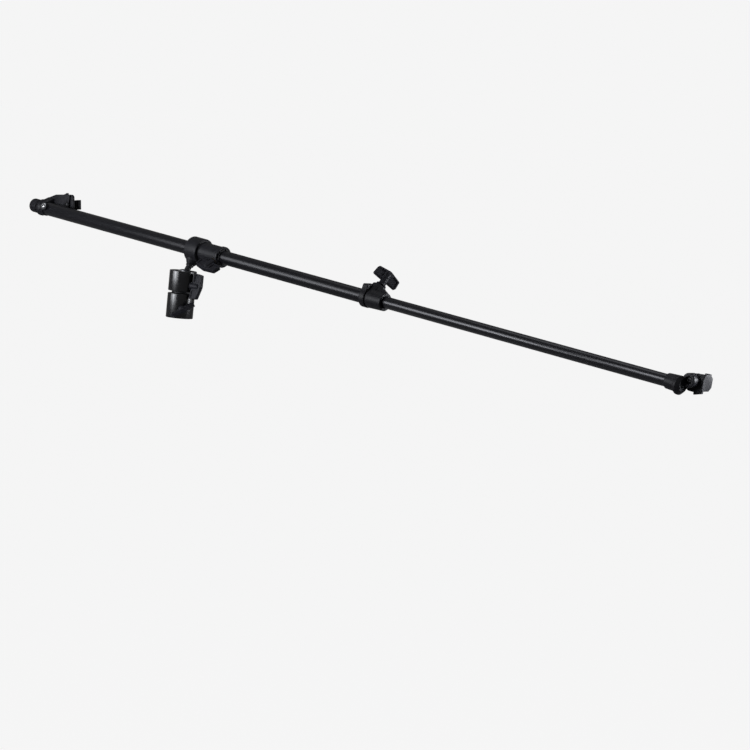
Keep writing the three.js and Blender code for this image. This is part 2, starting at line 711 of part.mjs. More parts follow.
// Rim clip. Its origin is on the pivot's axis, its closed side faces +X and its mouth -X.
function rimClip(side, parent, screwSeat) {
  const faceBack = clipFaceOffset + clipPlate;
  const channelBack = clipFaceOffset + clipDepth;
  const seatX = clipBack - clipWall;
  const pinX = clipBack - flapPinInset;
  const pinY = clipFaceOffset + flapInset + flapPlate / 2;
  const faceOutline = rounded([
    [-clipHubReach, clipHubTop, clipCorner],
    [-clipHubReach, clipHubBottom, clipCorner / 2],
    [clipThroat, clipHubBottom, 0],
    [clipThroat, clipBottom, edgeChamfer],
    [clipBack, clipBackBottom, edgeChamfer],
    [clipBack, wallTop, edgeChamfer],
    [seatX, clipTop, clipCorner / 2],
  ]);
  const wallOutline = [
    [clipFaceOffset, wallBottom],
    [channelBack - clipCorner, wallBottom],
    [channelBack, wallBottom + clipCorner],
    [channelBack, wallTop - clipCorner],
    [channelBack - clipCorner, wallTop],
    [clipFaceOffset, wallTop],
  ];
  const upright = (outline, low, high) => plate(outline, low, high).rotateX(Math.PI / 2).scale(1, -1, 1);
  let jaw = solid(upright(faceOutline, clipFaceOffset, faceBack));
  jaw = jaw.add(solid(plate(wallOutline, seatX, clipBack).rotateY(Math.PI / 2).rotateX(Math.PI / 2)));
  for (const end of [-1, 1]) {
    const inner = end * (flapHalfHeight + gap);
    const outer = end * (flapHalfHeight + gap + lugThickness);
    const [low, high] = [Math.min(inner, outer), Math.max(inner, outer)];
    const lugOutline = [
      [seatX + edgeChamfer, pinY - flapBarrelRadius - edgeChamfer],
      [seatX + edgeChamfer, channelBack],
      [pinX, channelBack],
      [pinX - flapBarrelRadius, pinY + edgeChamfer],
      [pinX - flapBarrelRadius, pinY - edgeChamfer],
      [pinX, pinY - flapBarrelRadius - edgeChamfer],
    ];
    jaw = jaw.add(solid(plate(lugOutline, low, high)));
  }
  const pinHole = rod(flapPinRadius + gap, clipBottom, clipTop, tinySteps).translate(pinX, pinY, 0);
  const screwHole = alongY(rod(smallHoleRadius, clipFaceOffset - overrun, faceBack + overrun, tinySteps));
  const nutRadius = nutAcross / Math.sqrt(3) + gap;
  const nutPocket = alongY(rod(nutRadius, faceBack - nutSeat, faceBack + overrun, 6));
  jaw = jaw.subtract(solid(pinHole)).subtract(solid(screwHole)).subtract(solid(nutPocket));

  // Slanting facet on the outer corner of the front plate.
  const facetFrom = new THREE.Vector3(facetStart, clipFaceOffset, facetStartRise);
  const facetTo = new THREE.Vector3(clipBack, clipFaceOffset, facetEndRise);
  const facetBack = new THREE.Vector3(clipBack, clipFaceOffset + facetDepth, wallTop);
  const facetPlane = new THREE.Plane().setFromCoplanarPoints(facetFrom, facetTo, facetBack);
  if (facetPlane.normal.y > 0) facetPlane.negate();
  jaw = jaw.trimByPlane(facetPlane.normal.clone().negate().toArray(), facetPlane.constant);
  part(`${side}_clip_jaw`, jaw, blackPlastic, parent);

  const flapLow = clipFaceOffset + flapInset;
  const flapHigh = flapLow + flapPlate;
  let flap = solid(plate(rounded([
    [pinX, flapLow, 0],
    [pinX, flapHigh, 0],
    [flapLip - flapReach, flapHigh, flapLip],
    [-flapReach, flapHigh + flapLip / 2, edgeChamfer],
    [-flapReach, flapHigh - edgeChamfer, edgeChamfer],
    [flapLip - flapReach, flapLow, flapLip],
  ]), -flapHalfHeight, flapHalfHeight));
  const barrel = rod(flapBarrelRadius, -flapHalfHeight, flapHalfHeight, smallSteps);
  flap = flap.add(solid(barrel.translate(pinX, pinY, 0)));
  const springRoom = springTurns * springPitch + 4 * springWire + gap;
  const roomTop = springRoom - flapHalfHeight;
  const roomSize = flapBarrelRadius + edgeChamfer;
  const roomLow = [pinX - roomSize, flapLow - overrun, -flapHalfHeight - overrun];
  const roomHigh = [pinX + roomSize, channelBack + overrun, roomTop];
  flap = flap.subtract(solid(block(roomLow, roomHigh)));
  const flapHole = rod(flapPinRadius + gap, clipBottom, clipTop, tinySteps);
  flap = flap.subtract(solid(flapHole.translate(pinX, pinY, 0)));
  part(`${side}_clip_flap`, flap, blackPlastic, parent);

  const pinEnd = flapHalfHeight + gap + lugThickness;
  const pin = rod(flapPinRadius, -pinEnd, pinEnd, tinySteps).translate(pinX, pinY, 0);
  part(`${side}_clip_pin`, solid(pin), steel, parent);

  // Closing spring, coiled round the pin.
  const coil = [];
  const coilSteps = 8;
  const coilLow = 2 * springWire - flapHalfHeight;
  for (let step = 0; step <= springTurns * coilSteps; step += 1) {
    const angle = (2 * Math.PI * step) / coilSteps;
    const height = coilLow + (springPitch * step) / coilSteps;
    const [across, along] = [springRadius * Math.cos(angle), springRadius * Math.sin(angle)];
    coil.push(new THREE.Vector3(pinX + across, pinY + along, height));
  }
  let leastGap = Infinity;
  coil.forEach((point, i) => {
    const nextTurns = coil.slice(i + coilSteps / 2);
    nextTurns.forEach((other) => {
      leastGap = Math.min(leastGap, point.distanceTo(other) - 2 * springWire);
    });
  });
  console.log(`${side} spring: least gap between turns ${leastGap.toFixed(2)} mm`);
  const wireOutline = new THREE.Shape();
  wireOutline.absarc(0, 0, springWire, 0, 2 * Math.PI);
  const route = new THREE.CatmullRomCurve3(coil);
  const wireSteps = { steps: coil.length - 1, curveSegments: 3, extrudePath: route };
  const wire = new THREE.ExtrudeGeometry(wireOutline, wireSteps);
  part(`${side}_clip_spring`, solid(wire), steel, parent);

  // Rubber faces that grip the rim.
  const padFront = faceBack + gap;
  const padInset = clipPlate / 2;
  const padOutline = rounded([
    [clipThroat, clipHubTop, edgeChamfer],
    [clipThroat, clipBottom + 2 * padInset, edgeChamfer],
    [seatX - gap, clipBackBottom + padInset, edgeChamfer],
    [seatX - gap, wallTop - padInset, edgeChamfer],
  ], 2);
  const padHole = alongY(rod(nutRadius + gap, padFront - overrun, padFront + rimPad + overrun, tinySteps));
  const frontPadSolid = solid(upright(padOutline, padFront, padFront + rimPad)).subtract(solid(padHole));
  part(`${side}_clip_front_pad`, frontPadSolid, rubber, parent);
  const flapPadLow = flapLow - gap - rimPad;
  const flapPad = block(
    [flapLip - flapReach, flapPadLow, edgeChamfer - flapHalfHeight],
    [pinX - flapBarrelRadius - edgeChamfer, flapLow - gap, flapHalfHeight - edgeChamfer],
  );
  part(`${side}_clip_flap_pad`, solid(flapPad), rubber, parent);

  const nutLow = faceBack - nutSeat + gap;
  const screw = panScrew(screwSeat - gap, nutLow + nutHeight);
  part(`${side}_clip_screw`, screw, steel, parent).rotation.x = -Math.PI / 2;
  nut(`${side}_clip_nut`, parent, nutLow);
}

const leftClip = group(arm);
leftClip.position.set(leftPivotX, 0, leftPivotRise);
leftClip.rotation.y = Math.PI - degrees(leftSwing);
rimClip('left', leftClip, bracketFront);

// Lock collar: a flange with a raised lobe, a groove, and a body with a boss for the knob.
const collar = group(arm);
const collarStation = rightReach - collarSeatDepth;
collar.position.x = collarStation;
const collarBodyStart = collarFlangeLength + collarGrooveLength;
const collarTubeSeat = collarSeatDepth + gap;
const innerGuide = innerTubeRadius + gap;
const collarHalf = collarLobeWidth / 2;
const flangeRadius = collarRadius + edgeChamfer;
let collarBody = solid(alongX(turned([
  [0, 0],
  [flangeRadius - edgeChamfer, 0],
  [flangeRadius, edgeChamfer],
  [flangeRadius, collarFlangeLength - edgeChamfer],
  [flangeRadius - edgeChamfer, collarFlangeLength],
  [collarRadius - collarGrooveDepth, collarFlangeLength],
  [collarRadius - collarGrooveDepth, collarBodyStart],
  [collarRadius, collarBodyStart],
  [collarRadius - edgeChamfer, collarLength - edgeChamfer],
  [collarRadius - 2 * edgeChamfer, collarLength],
  [0, collarLength],
], tubeSteps)));
const lobe = plate(rounded([
  [-flangeRadius * 0.9, 0, 0],
  [flangeRadius * 0.9, 0, 0],
  [collarHalf, collarLobeReach, 3 * edgeChamfer],
  [-collarHalf, collarLobeReach, 3 * edgeChamfer],
]), 0, collarFlangeLength).rotateX(Math.PI / 2).rotateZ(Math.PI / 2);
collarBody = collarBody.add(solid(lobe));
const collarAngle = degrees(-collarKnobTurn);
const towardsCollarKnob = (geometry) => geometry.rotateX(collarAngle).translate(collarKnobStation, 0, 0);
const collarBoss = rod(collarBossRadius, 0, collarBossReach, smallSteps, edgeChamfer);
collarBody = collarBody.add(solid(towardsCollarKnob(collarBoss)));
const ribStart = collarKnobStation + collarBossRadius / 2;
const bossRib = plate([
  [ribStart, 0],
  [collarLength - edgeChamfer, 0],
  [collarLength - edgeChamfer, collarRadius - 2 * edgeChamfer],
  [ribStart, collarBossReach - edgeChamfer],
], -collarBossRadius * 0.75, collarBossRadius * 0.75).rotateX(Math.PI / 2).rotateX(collarAngle);
collarBody = collarBody.add(solid(bossRib));
const tubeSeat = alongX(rod(outerTubeRadius + gap, -overrun, collarTubeSeat, tubeSteps));
const guideBore = alongX(rod(innerGuide, 0, collarLength + overrun, tubeSteps));
const insertHole = towardsCollarKnob(rod(insertRadius + gap, 0, collarBossReach + overrun, smallSteps));
collarBody = collarBody.subtract(solid(tubeSeat)).subtract(solid(guideBore)).subtract(solid(insertHole));
part('collar_body', collarBody, blackPlastic, collar);

const collarKnobMount = group(collar);
collarKnobMount.position.x = collarKnobStation;
collarKnobMount.rotation.x = collarAngle;
const collarInsertLow = collarBossReach - insertLength;
const collarInsert = ring(insertBore, insertRadius, collarInsertLow, collarBossReach - gap, smallSteps);
part('collar_insert', solid(collarInsert), brass, collarKnobMount);
const padLow = innerGuide;
part('collar_pad', solid(rod(padRadius, padLow, padLow + padLength, smallSteps)), nylon, collarKnobMount);
const collarKnobFoot = collarBossReach + collarKnobStandoff;
const collarTip = padLow + padLength + gap;
const collarKnobSizes = [collarKnobFoot, largeScrewRadius, collarKnobNeck, collarFlangeRadius];
const collarKnob = lockKnob('collar', collarKnobMount, collarTip, ...collarKnobSizes);
collarKnob.rotation.z = degrees(collarGripTurn);

// Thin tube, its guide plug inside the thick tube and the sleeve on its far end.
const collarEnd = collarStation + collarLength;
const innerStart = collarEnd - innerInsertion;
const sleeveStart = collarEnd + shownExtension;
const innerEnd = sleeveStart + sleeveSeatDepth;
const innerBore = innerTubeRadius - innerTubeWall;
const innerTube = ring(innerBore, innerTubeRadius, innerStart, innerEnd, tubeSteps);
part('inner_tube', solid(alongX(innerTube)), anodised, arm);
const guidePlug = turned([
  [0, innerStart - gap - plugFlangeLength],
  [outerBore - gap - edgeChamfer, innerStart - gap - plugFlangeLength],
  [outerBore - gap, innerStart - gap - plugFlangeLength + edgeChamfer],
  [outerBore - gap, innerStart - gap],
  [innerBore - gap, innerStart - gap],
  [innerBore - gap, innerStart + plugLength],
  [0, innerStart + plugLength],
], tubeSteps);
part('guide_plug', solid(alongX(guidePlug)), nylon, arm);

const sleeveEnd = sleeveStart + sleeveLength;
const bulbEnd = sleeveEnd + bulbLength;
const rightPivotX = sleeveStart + rightPivotStation;
let endSleeve = solid(alongX(turned([
  [0, sleeveStart],
  [sleeveStartRadius - edgeChamfer, sleeveStart],
  [sleeveStartRadius, sleeveStart + edgeChamfer],
  [sleeveEndRadius, sleeveEnd],
  [bulbRadius, sleeveEnd + edgeChamfer],
  [bulbRadius, bulbEnd - bulbConeLength],
  [bulbTipRadius, bulbEnd],
  [0, bulbEnd],
], tubeSteps)));
const lugBack = clipFaceOffset - gap;
const lugOutline = rounded([
  [sleeveStart + sleeveLength / 2, -innerTubeRadius, edgeChamfer],
  [sleeveEnd, -innerTubeRadius, edgeChamfer],
  [rightPivotX, rightPivotRise - lugRadius + gap, 0],
  [rightPivotX, rightPivotRise + lugRadius - gap, 0],
  [sleeveEnd + bulbLength / 2, innerTubeRadius, edgeChamfer],
  [sleeveStart + sleeveLength / 2, innerTubeRadius, edgeChamfer],
]);
endSleeve = endSleeve.add(solid(plate(lugOutline, lugFront, lugBack).rotateX(Math.PI / 2).scale(1, -1, 1)));
const lugEnd = alongY(rod(lugRadius, lugFront, lugBack, tubeSteps, edgeChamfer));
endSleeve = endSleeve.add(solid(lugEnd.translate(rightPivotX, 0, rightPivotRise)));
const sleeveBore = alongX(rod(innerTubeRadius + gap, sleeveStart - overrun, innerEnd + gap, tubeSteps));
endSleeve = endSleeve.subtract(solid(sleeveBore));
const rightPivotHole = alongY(rod(smallHoleRadius, lugFront - overrun, lugBack + overrun, tinySteps));
endSleeve = endSleeve.subtract(solid(rightPivotHole.translate(rightPivotX, 0, rightPivotRise)));
const headRelief = alongY(rod(clipScrewHeadRadius + gap, -bulbRadius, lugFront, smallSteps));
endSleeve = endSleeve.subtract(solid(headRelief.translate(rightPivotX, 0, rightPivotRise)));
part('right_end_sleeve', endSleeve, blackPlastic, arm);

const rightClip = group(arm);
rightClip.position.set(rightPivotX, 0, rightPivotRise);
rimClip('right', rightClip, lugFront);

export default object;
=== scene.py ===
import math

import bmesh
import bpy
from mathutils import Matrix, Vector


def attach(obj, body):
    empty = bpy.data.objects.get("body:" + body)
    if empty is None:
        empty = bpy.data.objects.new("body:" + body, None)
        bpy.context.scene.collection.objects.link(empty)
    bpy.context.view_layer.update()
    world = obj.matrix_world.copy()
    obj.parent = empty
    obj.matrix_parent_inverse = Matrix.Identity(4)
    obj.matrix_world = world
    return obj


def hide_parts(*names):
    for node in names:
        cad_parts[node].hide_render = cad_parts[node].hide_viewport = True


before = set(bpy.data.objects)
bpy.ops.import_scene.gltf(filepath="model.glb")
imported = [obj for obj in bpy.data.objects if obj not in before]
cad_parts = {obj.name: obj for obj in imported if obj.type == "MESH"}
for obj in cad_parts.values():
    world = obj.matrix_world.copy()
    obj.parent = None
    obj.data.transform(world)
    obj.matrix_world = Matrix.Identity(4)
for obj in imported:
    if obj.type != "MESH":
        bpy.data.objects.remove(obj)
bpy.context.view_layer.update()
print("frame loaded:", len(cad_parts), "nodes")

scene = bpy.context.scene
mm = 0.001
gap = 0.3  # clearance between pieces that meet
overrun = 2  # how far a cutting shape stands past what it cuts
chamfer = 0.7  # small step that many edges share
nearAxis = 1e-6  # a smaller radius lies on the axis
weld = 1e-7  # metres; points closer than this are one
crumb = 1.5e-6  # metres; what is smaller can't be seen
facets = {"barrel": 144, "tube": 128, "cap": 96, "knob": 64, "pin": 48, "hole": 32, "hex": 6}


# shapes: sizes go in as millimetres, and what is built stands at the origin

def shift(x=0, y=0, z=0):
    return Matrix.Translation(Vector((x, y, z)) * mm)


def turn(angle, axis):
    return Matrix.Rotation(math.radians(angle), 4, axis)


# takes an outline raised along Z to one raised along X, its first axis along Y
acrossX = Matrix(((0, 0, 1, 0), (1, 0, 0, 0), (0, 1, 0, 0), (0, 0, 0, 1)))


def meshObject(name, points, faces):
    mesh = bpy.data.meshes.new(name)
    mesh.from_pydata([Vector(point) * mm for point in points], [], faces)
    bm = bmesh.new()
    bm.from_mesh(mesh)
    bmesh.ops.remove_doubles(bm, verts=bm.verts, dist=weld)
    bmesh.ops.recalc_face_normals(bm, faces=bm.faces)
    bm.to_mesh(mesh)
    bm.free()
    obj = bpy.data.objects.new(name, mesh)
    scene.collection.objects.link(obj)
    return obj


def roundedOutline(corners, steps=5):
    # each corner is (x, y) or (x, y, radius)
    outline = []
    for i, corner in enumerate(corners):
        here = Vector(corner[:2])
        radius = corner[2] if len(corner) > 2 else 0
        if not radius:
            outline.append(tuple(here))
            continue
        before = (Vector(corners[i - 1][:2]) - here).normalized()
        after = (Vector(corners[(i + 1) % len(corners)][:2]) - here).normalized()
        half = before.angle(after) / 2
        centre = here + (before + after).normalized() * (radius / math.sin(half))
        start = here + before * (radius / math.tan(half)) - centre
        end = here + after * (radius / math.tan(half)) - centre
        sweep = math.atan2(start.x * end.y - start.y * end.x, start.dot(end))
        for step in range(steps + 1):
            point = Matrix.Rotation(sweep * step / steps, 2) @ start + centre
            outline.append(tuple(point))
    return outline


def lathe(name, profile, steps):
    # turned about Z; a profile that starts and ends on the axis stays open
    points, rows = [], []
    for radius, height in profile:
        if radius < nearAxis:
            rows.append([len(points)] * (steps + 1))
            points.append((0, 0, height))
            continue
        first = len(points)
        for step in range(steps):
            angle = 2 * math.pi * step / steps
            points.append((radius * math.cos(angle), radius * math.sin(angle), height))
        rows.append([first + step % steps for step in range(steps + 1)])
    solid = profile[0][0] < nearAxis and profile[-1][0] < nearAxis
    faces = []
    for i in range(len(rows) - 1 if solid else len(rows)):
        low, high = rows[i], rows[(i + 1) % len(rows)]
        for step in range(steps):
            face = [low[step], low[step + 1], high[step + 1], high[step]]
            face = [point for k, point in enumerate(face) if point not in face[:k]]
            if len(face) > 2:
                faces.append(face)
    return meshObject(name, points, faces)


def rod(name, radius, low, high, steps, edge=0):
    profile = [(0, low), (radius, low, edge), (radius, high, edge), (0, high)]
    return lathe(name, roundedOutline(profile, steps=3), steps)


def ring(name, inner, outer, low, high, steps, edge=0):
    profile = [(inner, low, edge), (outer, low, edge), (outer, high, edge), (inner, high, edge)]
    return lathe(name, roundedOutline(profile, steps=3), steps)


def prism(name, outline, low, high, soft=0, upright=False):
    # outline in XY raised along Z, or in XZ raised along Y, with its rims rounded by soft
    count = len(outline)
    points = [(x, y, low) for x, y in outline] + [(x, y, high) for x, y in outline]
    if upright:
        points = [(x, z, y) for x, y, z in points]
    faces = [list(range(count)), list(range(count, 2 * count))]
    for i in range(count):
        after = (i + 1) % count
        faces.append([i, after, after + count, i + count])
    obj = meshObject(name, points, faces)
    if soft:
        roundRims(obj.data, count, soft)
    return obj


def roundRims(mesh, count, soft):
    # the rims belong to the faces with count corners: the two ends, and every side of a plain block
    bm = bmesh.new()
    bm.from_mesh(mesh)
    rims = [edge for edge in bm.edges if any(len(face.verts) == count for face in edge.link_faces)]
    bmesh.ops.bevel(
        bm, geom=rims, offset=soft * mm, segments=3, profile=0.5, affect="EDGES", clamp_overlap=True)
    bm.to_mesh(mesh)
    bm.free()


def moved(obj, matrix):
    obj.data.transform(matrix)
    return obj


def along(obj, axis):
    return moved(obj, turn(90, "Y") if axis == "X" else turn(-90, "X"))


def combine(obj, other, operation):
    modifier = obj.modifiers.new("combine", "BOOLEAN")
    modifier.operation = operation
    modifier.solver = "MANIFOLD"
    modifier.object = other
    bpy.context.view_layer.update()
    evaluated = obj.evaluated_get(bpy.context.evaluated_depsgraph_get())
    mesh = bpy.data.meshes.new_from_object(evaluated)
    obj.modifiers.clear()
    obj.data = mesh
    bpy.data.objects.remove(other)


def joined(obj, *others):
    for other in others:
        combine(obj, other, "UNION")


def cut(obj, *others):
    for other in others:
        combine(obj, other, "DIFFERENCE")


def dropCrumbs(mesh):
    # the joins and cuts leave faces far too small to see: their corners are merged
    bm = bmesh.new()
    bm.from_mesh(mesh)
    bmesh.ops.remove_doubles(bm, verts=bm.verts, dist=crumb)
    bmesh.ops.dissolve_degenerate(bm, dist=crumb, edges=bm.edges)
    bm.to_mesh(mesh)
    bm.free()


def finishPiece(obj, name, body, place, finish, node, sharp=32):
    # names the piece, shades it smooth up to its sharp edges and hangs it on its body
    dropCrumbs(obj.data)
    obj.name = name
    obj.data.name = name
    obj.data.materials.clear()
    obj.data.materials.append(finishes[finish])
    obj.data.polygons.foreach_set("material_index", [0] * len(obj.data.polygons))
    obj.data.shade_smooth()
    obj.data.set_sharp_from_angle(angle=math.radians(sharp))
    if finish in plainGrain:
        obj.data.transform(place)  # no grain direction to keep, so the mesh itself sits in place
    else:
        obj.matrix_world = place
    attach(obj, body)
    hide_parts(node)


# shared effects

def newGroup(name, inputs, outputs):
    group = bpy.data.node_groups.new(name, "ShaderNodeTree")
    for socket, value in inputs.items():
        made = group.interface.new_socket(socket, in_out="INPUT", socket_type="NodeSocketFloat")
        made.default_value = value
    for socket in outputs:
        group.interface.new_socket(socket, in_out="OUTPUT", socket_type="NodeSocketFloat")
    start = group.nodes.new("NodeGroupInput")
    end = group.nodes.new("NodeGroupOutput")
    return group, start, end


def mathNode(tree, operation, first, second=None, third=None, clamp=False):
    node = tree.nodes.new("ShaderNodeMath")
    node.operation = operation
    node.use_clamp = clamp
    for i, value in enumerate((first, second, third)):
        if value is None:
            continue
        if isinstance(value, (int, float)):
            node.inputs[i].default_value = value
        else:
            tree.links.new(value, node.inputs[i])
    return node.outputs[0]


def noiseNode(tree, scale, size, stretch=None):
    coords = tree.nodes.new("ShaderNodeTexCoord")
    noise = tree.nodes.new("ShaderNodeTexNoise")
    noise.inputs["Detail"].default_value = size["detail"]
    noise.inputs["Roughness"].default_value = size["roughness"]
    source = coords.outputs["Object"]
    if stretch:
        mapping = tree.nodes.new("ShaderNodeMapping")
        mapping.inputs["Scale"].default_value = stretch
        tree.links.new(source, mapping.inputs["Vector"])
        source = mapping.outputs["Vector"]
    tree.links.new(source, noise.inputs["Vector"])
    tree.links.new(scale, noise.inputs["Scale"])
    return noise.outputs["Fac"]


edgeWear = {
    "radius": 0.0005, "amount": 0.5, "breakup": 900.0,
    "samples": 4, "bendGain": 9.0, "detail": 4, "roughness": 0.65, "noiseGain": 3.2, "noiseStart": -1.1,
}


def buildEdgeWear(size):
    # pale rubbed edges: where the rounded normal leaves the true one, broken up by noise
    inputs = {"Radius": size["radius"], "Amount": size["amount"], "Breakup": size["breakup"]}
    group, start, end = newGroup("edgeWear", inputs, ["Mask"])
    bevel = group.nodes.new("ShaderNodeBevel")
    bevel.samples = size["samples"]
    group.links.new(start.outputs["Radius"], bevel.inputs["Radius"])
    geometry = group.nodes.new("ShaderNodeNewGeometry")
    dot = group.nodes.new("ShaderNodeVectorMath")
    dot.operation = "DOT_PRODUCT"
    group.links.new(bevel.outputs[0], dot.inputs[0])
    group.links.new(geometry.outputs["Normal"], dot.inputs[1])
    bend = mathNode(group, "SUBTRACT", 1.0, dot.outputs["Value"], clamp=True)
    bend = mathNode(group, "MULTIPLY", bend, size["bendGain"], clamp=True)
    noise = noiseNode(group, start.outputs["Breakup"], size)
    broken = mathNode(group, "MULTIPLY_ADD", noise, size["noiseGain"], size["noiseStart"], clamp=True)
    mask = mathNode(group, "MULTIPLY", bend, broken)
    mask = mathNode(group, "MULTIPLY", mask, start.outputs["Amount"], clamp=True)
    group.links.new(mask, end.inputs["Mask"])
    return group


mouldedGrain = {
    "scale": 2600.0, "driftScale": 90.0, "fineShare": 0.8, "coarseShare": 0.2,
    "fine": {"detail": 2, "roughness": 0.5}, "coarse": {"detail": 3, "roughness": 0.6},
}


def buildGrain(size):
    # fine pitted skin of moulded plastic, with a slow drift in how rough it is
    inputs = {"Scale": size["scale"], "Drift Scale": size["driftScale"]}
    group, start, end = newGroup("mouldedGrain", inputs, ["Height", "Drift"])
    fine = noiseNode(group, start.outputs["Scale"], size["fine"])
    coarse = noiseNode(group, start.outputs["Drift Scale"], size["coarse"])
    slow = mathNode(group, "MULTIPLY", coarse, size["coarseShare"])
    height = mathNode(group, "MULTIPLY_ADD", fine, size["fineShare"], slow)
    group.links.new(height, end.inputs["Height"])
    group.links.new(coarse, end.inputs["Drift"])
    return group


# drawn lines run the length of a tube, turned lines ring the local Z axis
drawnLines = {"scale": 420.0, "detail": 5, "roughness": 0.7, "stretch": (0.02, 1.0, 1.0)}
turnedLines = {"scale": 500.0, "detail": 5, "roughness": 0.7, "stretch": (0.03, 0.03, 1.0)}


def buildLines(name, size):
    # faint lines that drawing or turning leaves
    group, start, end = newGroup(name, {"Scale": size["scale"], "Strength": 1.0}, ["Height", "Streak"])
    lines = noiseNode(group, start.outputs["Scale"], size, size["stretch"])
    height = mathNode(group, "MULTIPLY", lines, start.outputs["Strength"])
    group.links.new(height, end.inputs["Height"])
    group.links.new(lines, end.inputs["Streak"])
    return group


settledDust = {
    "amount": 0.2, "scale": 260.0, "detail": 6, "roughness": 0.75,
    "upGain": 0.7, "upStart": 0.3, "speckGain": 3.0, "speckStart": -1.25,
}


def buildDust(size):
    # thin dust and lint that settles where the surface faces up
    inputs = {"Amount": size["amount"], "Scale": size["scale"]}
    group, start, end = newGroup("settledDust", inputs, ["Mask"])
    geometry = group.nodes.new("ShaderNodeNewGeometry")
    axes = group.nodes.new("ShaderNodeSeparateXYZ")
    group.links.new(geometry.outputs["Normal"], axes.inputs[0])
    upward = mathNode(group, "MULTIPLY_ADD", axes.outputs["Z"], size["upGain"], size["upStart"], clamp=True)
    specks = noiseNode(group, start.outputs["Scale"], size)
    specks = mathNode(group, "MULTIPLY_ADD", specks, size["speckGain"], size["speckStart"], clamp=True)
    mask = mathNode(group, "MULTIPLY", upward, specks)
    mask = mathNode(group, "MULTIPLY", mask, start.outputs["Amount"], clamp=True)
    group.links.new(mask, end.inputs["Mask"])
    return group


effects = {
    "wear": buildEdgeWear(edgeWear), "grain": buildGrain(mouldedGrain),
    "drawn": buildLines("drawnLines", drawnLines), "turned": buildLines("turnedLines", turnedLines),
    "dust": buildDust(settledDust),
}
print("shared effects built:", len(effects))


def placeGroup(tree, effect, **values):
    node = tree.nodes.new("ShaderNodeGroup")
    node.node_tree = effects[effect]
    for socket, value in values.items():
        node.inputs[socket].default_value = value
    return node


def mixColour(tree, mask, first, second):
    node = tree.nodes.new("ShaderNodeMix")
    node.data_type = "RGBA"
    tree.links.new(mask, node.inputs[0])
    for socket, colour in ((node.inputs[6], first), (node.inputs[7], second)):
        if isinstance(colour, (tuple, list)):
            socket.default_value = (*colour, 1)
        else:
            tree.links.new(colour, socket)
    return node.outputs[2]


recipe = {
    "driftGain": 1.6, "driftStart": -0.3, "wearRadius": 0.0004,  # the radius is in metres
    "dustColour": (0.42, 0.41, 0.40), "dustRoughness": 0.3,
}


def buildMaterial(name, look):
    # one recipe for every finish: colour drift, worn edges, dust, lines or grain in the bump
    material = bpy.data.materials.new(name)
    material.use_nodes = True
    tree = material.node_tree
    shader = tree.nodes["Principled BSDF"]
    for socket, value in look["fixed"].items():
        shader.inputs[socket].default_value = value
    pattern = placeGroup(tree, look["pattern"], Scale=look["patternScale"])
    drift = pattern.outputs["Drift" if look["pattern"] == "grain" else "Streak"]
    drift = mathNode(tree, "MULTIPLY_ADD", drift, recipe["driftGain"], recipe["driftStart"], clamp=True)
    colour = mixColour(tree, drift, look["dark"], look["light"])
    wear = placeGroup(tree, "wear", Radius=recipe["wearRadius"], Amount=look["wear"])
    colour = mixColour(tree, wear.outputs["Mask"], colour, look["worn"])
    dust = placeGroup(tree, "dust", Amount=look["dust"])
    colour = mixColour(tree, dust.outputs["Mask"], colour, recipe["dustColour"])
    tree.links.new(colour, shader.inputs["Base Color"])
    low, high = look["roughness"]
    rough = mathNode(tree, "MULTIPLY_ADD", drift, high - low, low)
    rough = mathNode(tree, "MULTIPLY_ADD", dust.outputs["Mask"], recipe["dustRoughness"], rough, clamp=True)
    tree.links.new(rough, shader.inputs["Roughness"])
    bump = tree.nodes.new("ShaderNodeBump")
    bump.inputs["Strength"].default_value = look["bump"]
    bump.inputs["Distance"].default_value = look["bumpDepth"] * mm
    tree.links.new(pattern.outputs["Height"], bump.inputs["Height"])
    tree.links.new(bump.outputs["Normal"], shader.inputs["Normal"])
    return material


barrelLook = {
    "pattern": "turned", "patternScale": 700.0, "roughness": (0.22, 0.26),
    "dark": (0.003, 0.003, 0.004), "light": (0.005, 0.005, 0.006), "worn": (0.10, 0.10, 0.11),
    "wear": 0.3, "dust": 0.01, "bump": 0.04, "bumpDepth": 0.01,
    "fixed": {"Specular IOR Level": 0.5, "Coat Weight": 0.15, "Coat Roughness": 0.18},
}
tubeLook = {
    "pattern": "drawn", "patternScale": 520.0, "roughness": (0.30, 0.38),
    "dark": (0.006, 0.006, 0.008), "light": (0.011, 0.011, 0.014), "worn": (0.14, 0.14, 0.15),
    "wear": 0.4, "dust": 0.015, "bump": 0.05, "bumpDepth": 0.01,
    "fixed": {"Metallic": 0.2, "Specular IOR Level": 0.3},
}
innerTubeLook = {
    "pattern": "drawn", "patternScale": 620.0, "roughness": (0.24, 0.30),
    "dark": (0.008, 0.008, 0.010), "light": (0.014, 0.014, 0.018), "worn": (0.16, 0.16, 0.17),
    "wear": 0.4, "dust": 0.01, "bump": 0.04, "bumpDepth": 0.01,
    "fixed": {"Metallic": 0.3, "Specular IOR Level": 0.5},
}
# matt black plastic of the knobs, a shade lighter than the moulding: that lift is painted light on the knobs'
# lit faces
knobLook = {
    "pattern": "grain", "patternScale": 2400.0, "roughness": (0.48, 0.60),
    "dark": (0.009, 0.009, 0.012), "light": (0.014, 0.014, 0.019), "worn": (0.05, 0.05, 0.06),
    "wear": 0.4, "dust": 0.02, "bump": 0.35, "bumpDepth": 0.05,
    "fixed": {"Specular IOR Level": 0.16},
}
mouldingLook = {
    "pattern": "grain", "patternScale": 3200.0, "roughness": (0.40, 0.52),
    "dark": (0.008, 0.008, 0.010), "light": (0.014, 0.014, 0.017), "worn": (0.05, 0.05, 0.06),
    "wear": 0.4, "dust": 0.02, "bump": 0.25, "bumpDepth": 0.04,
    "fixed": {"Specular IOR Level": 0.17},
}
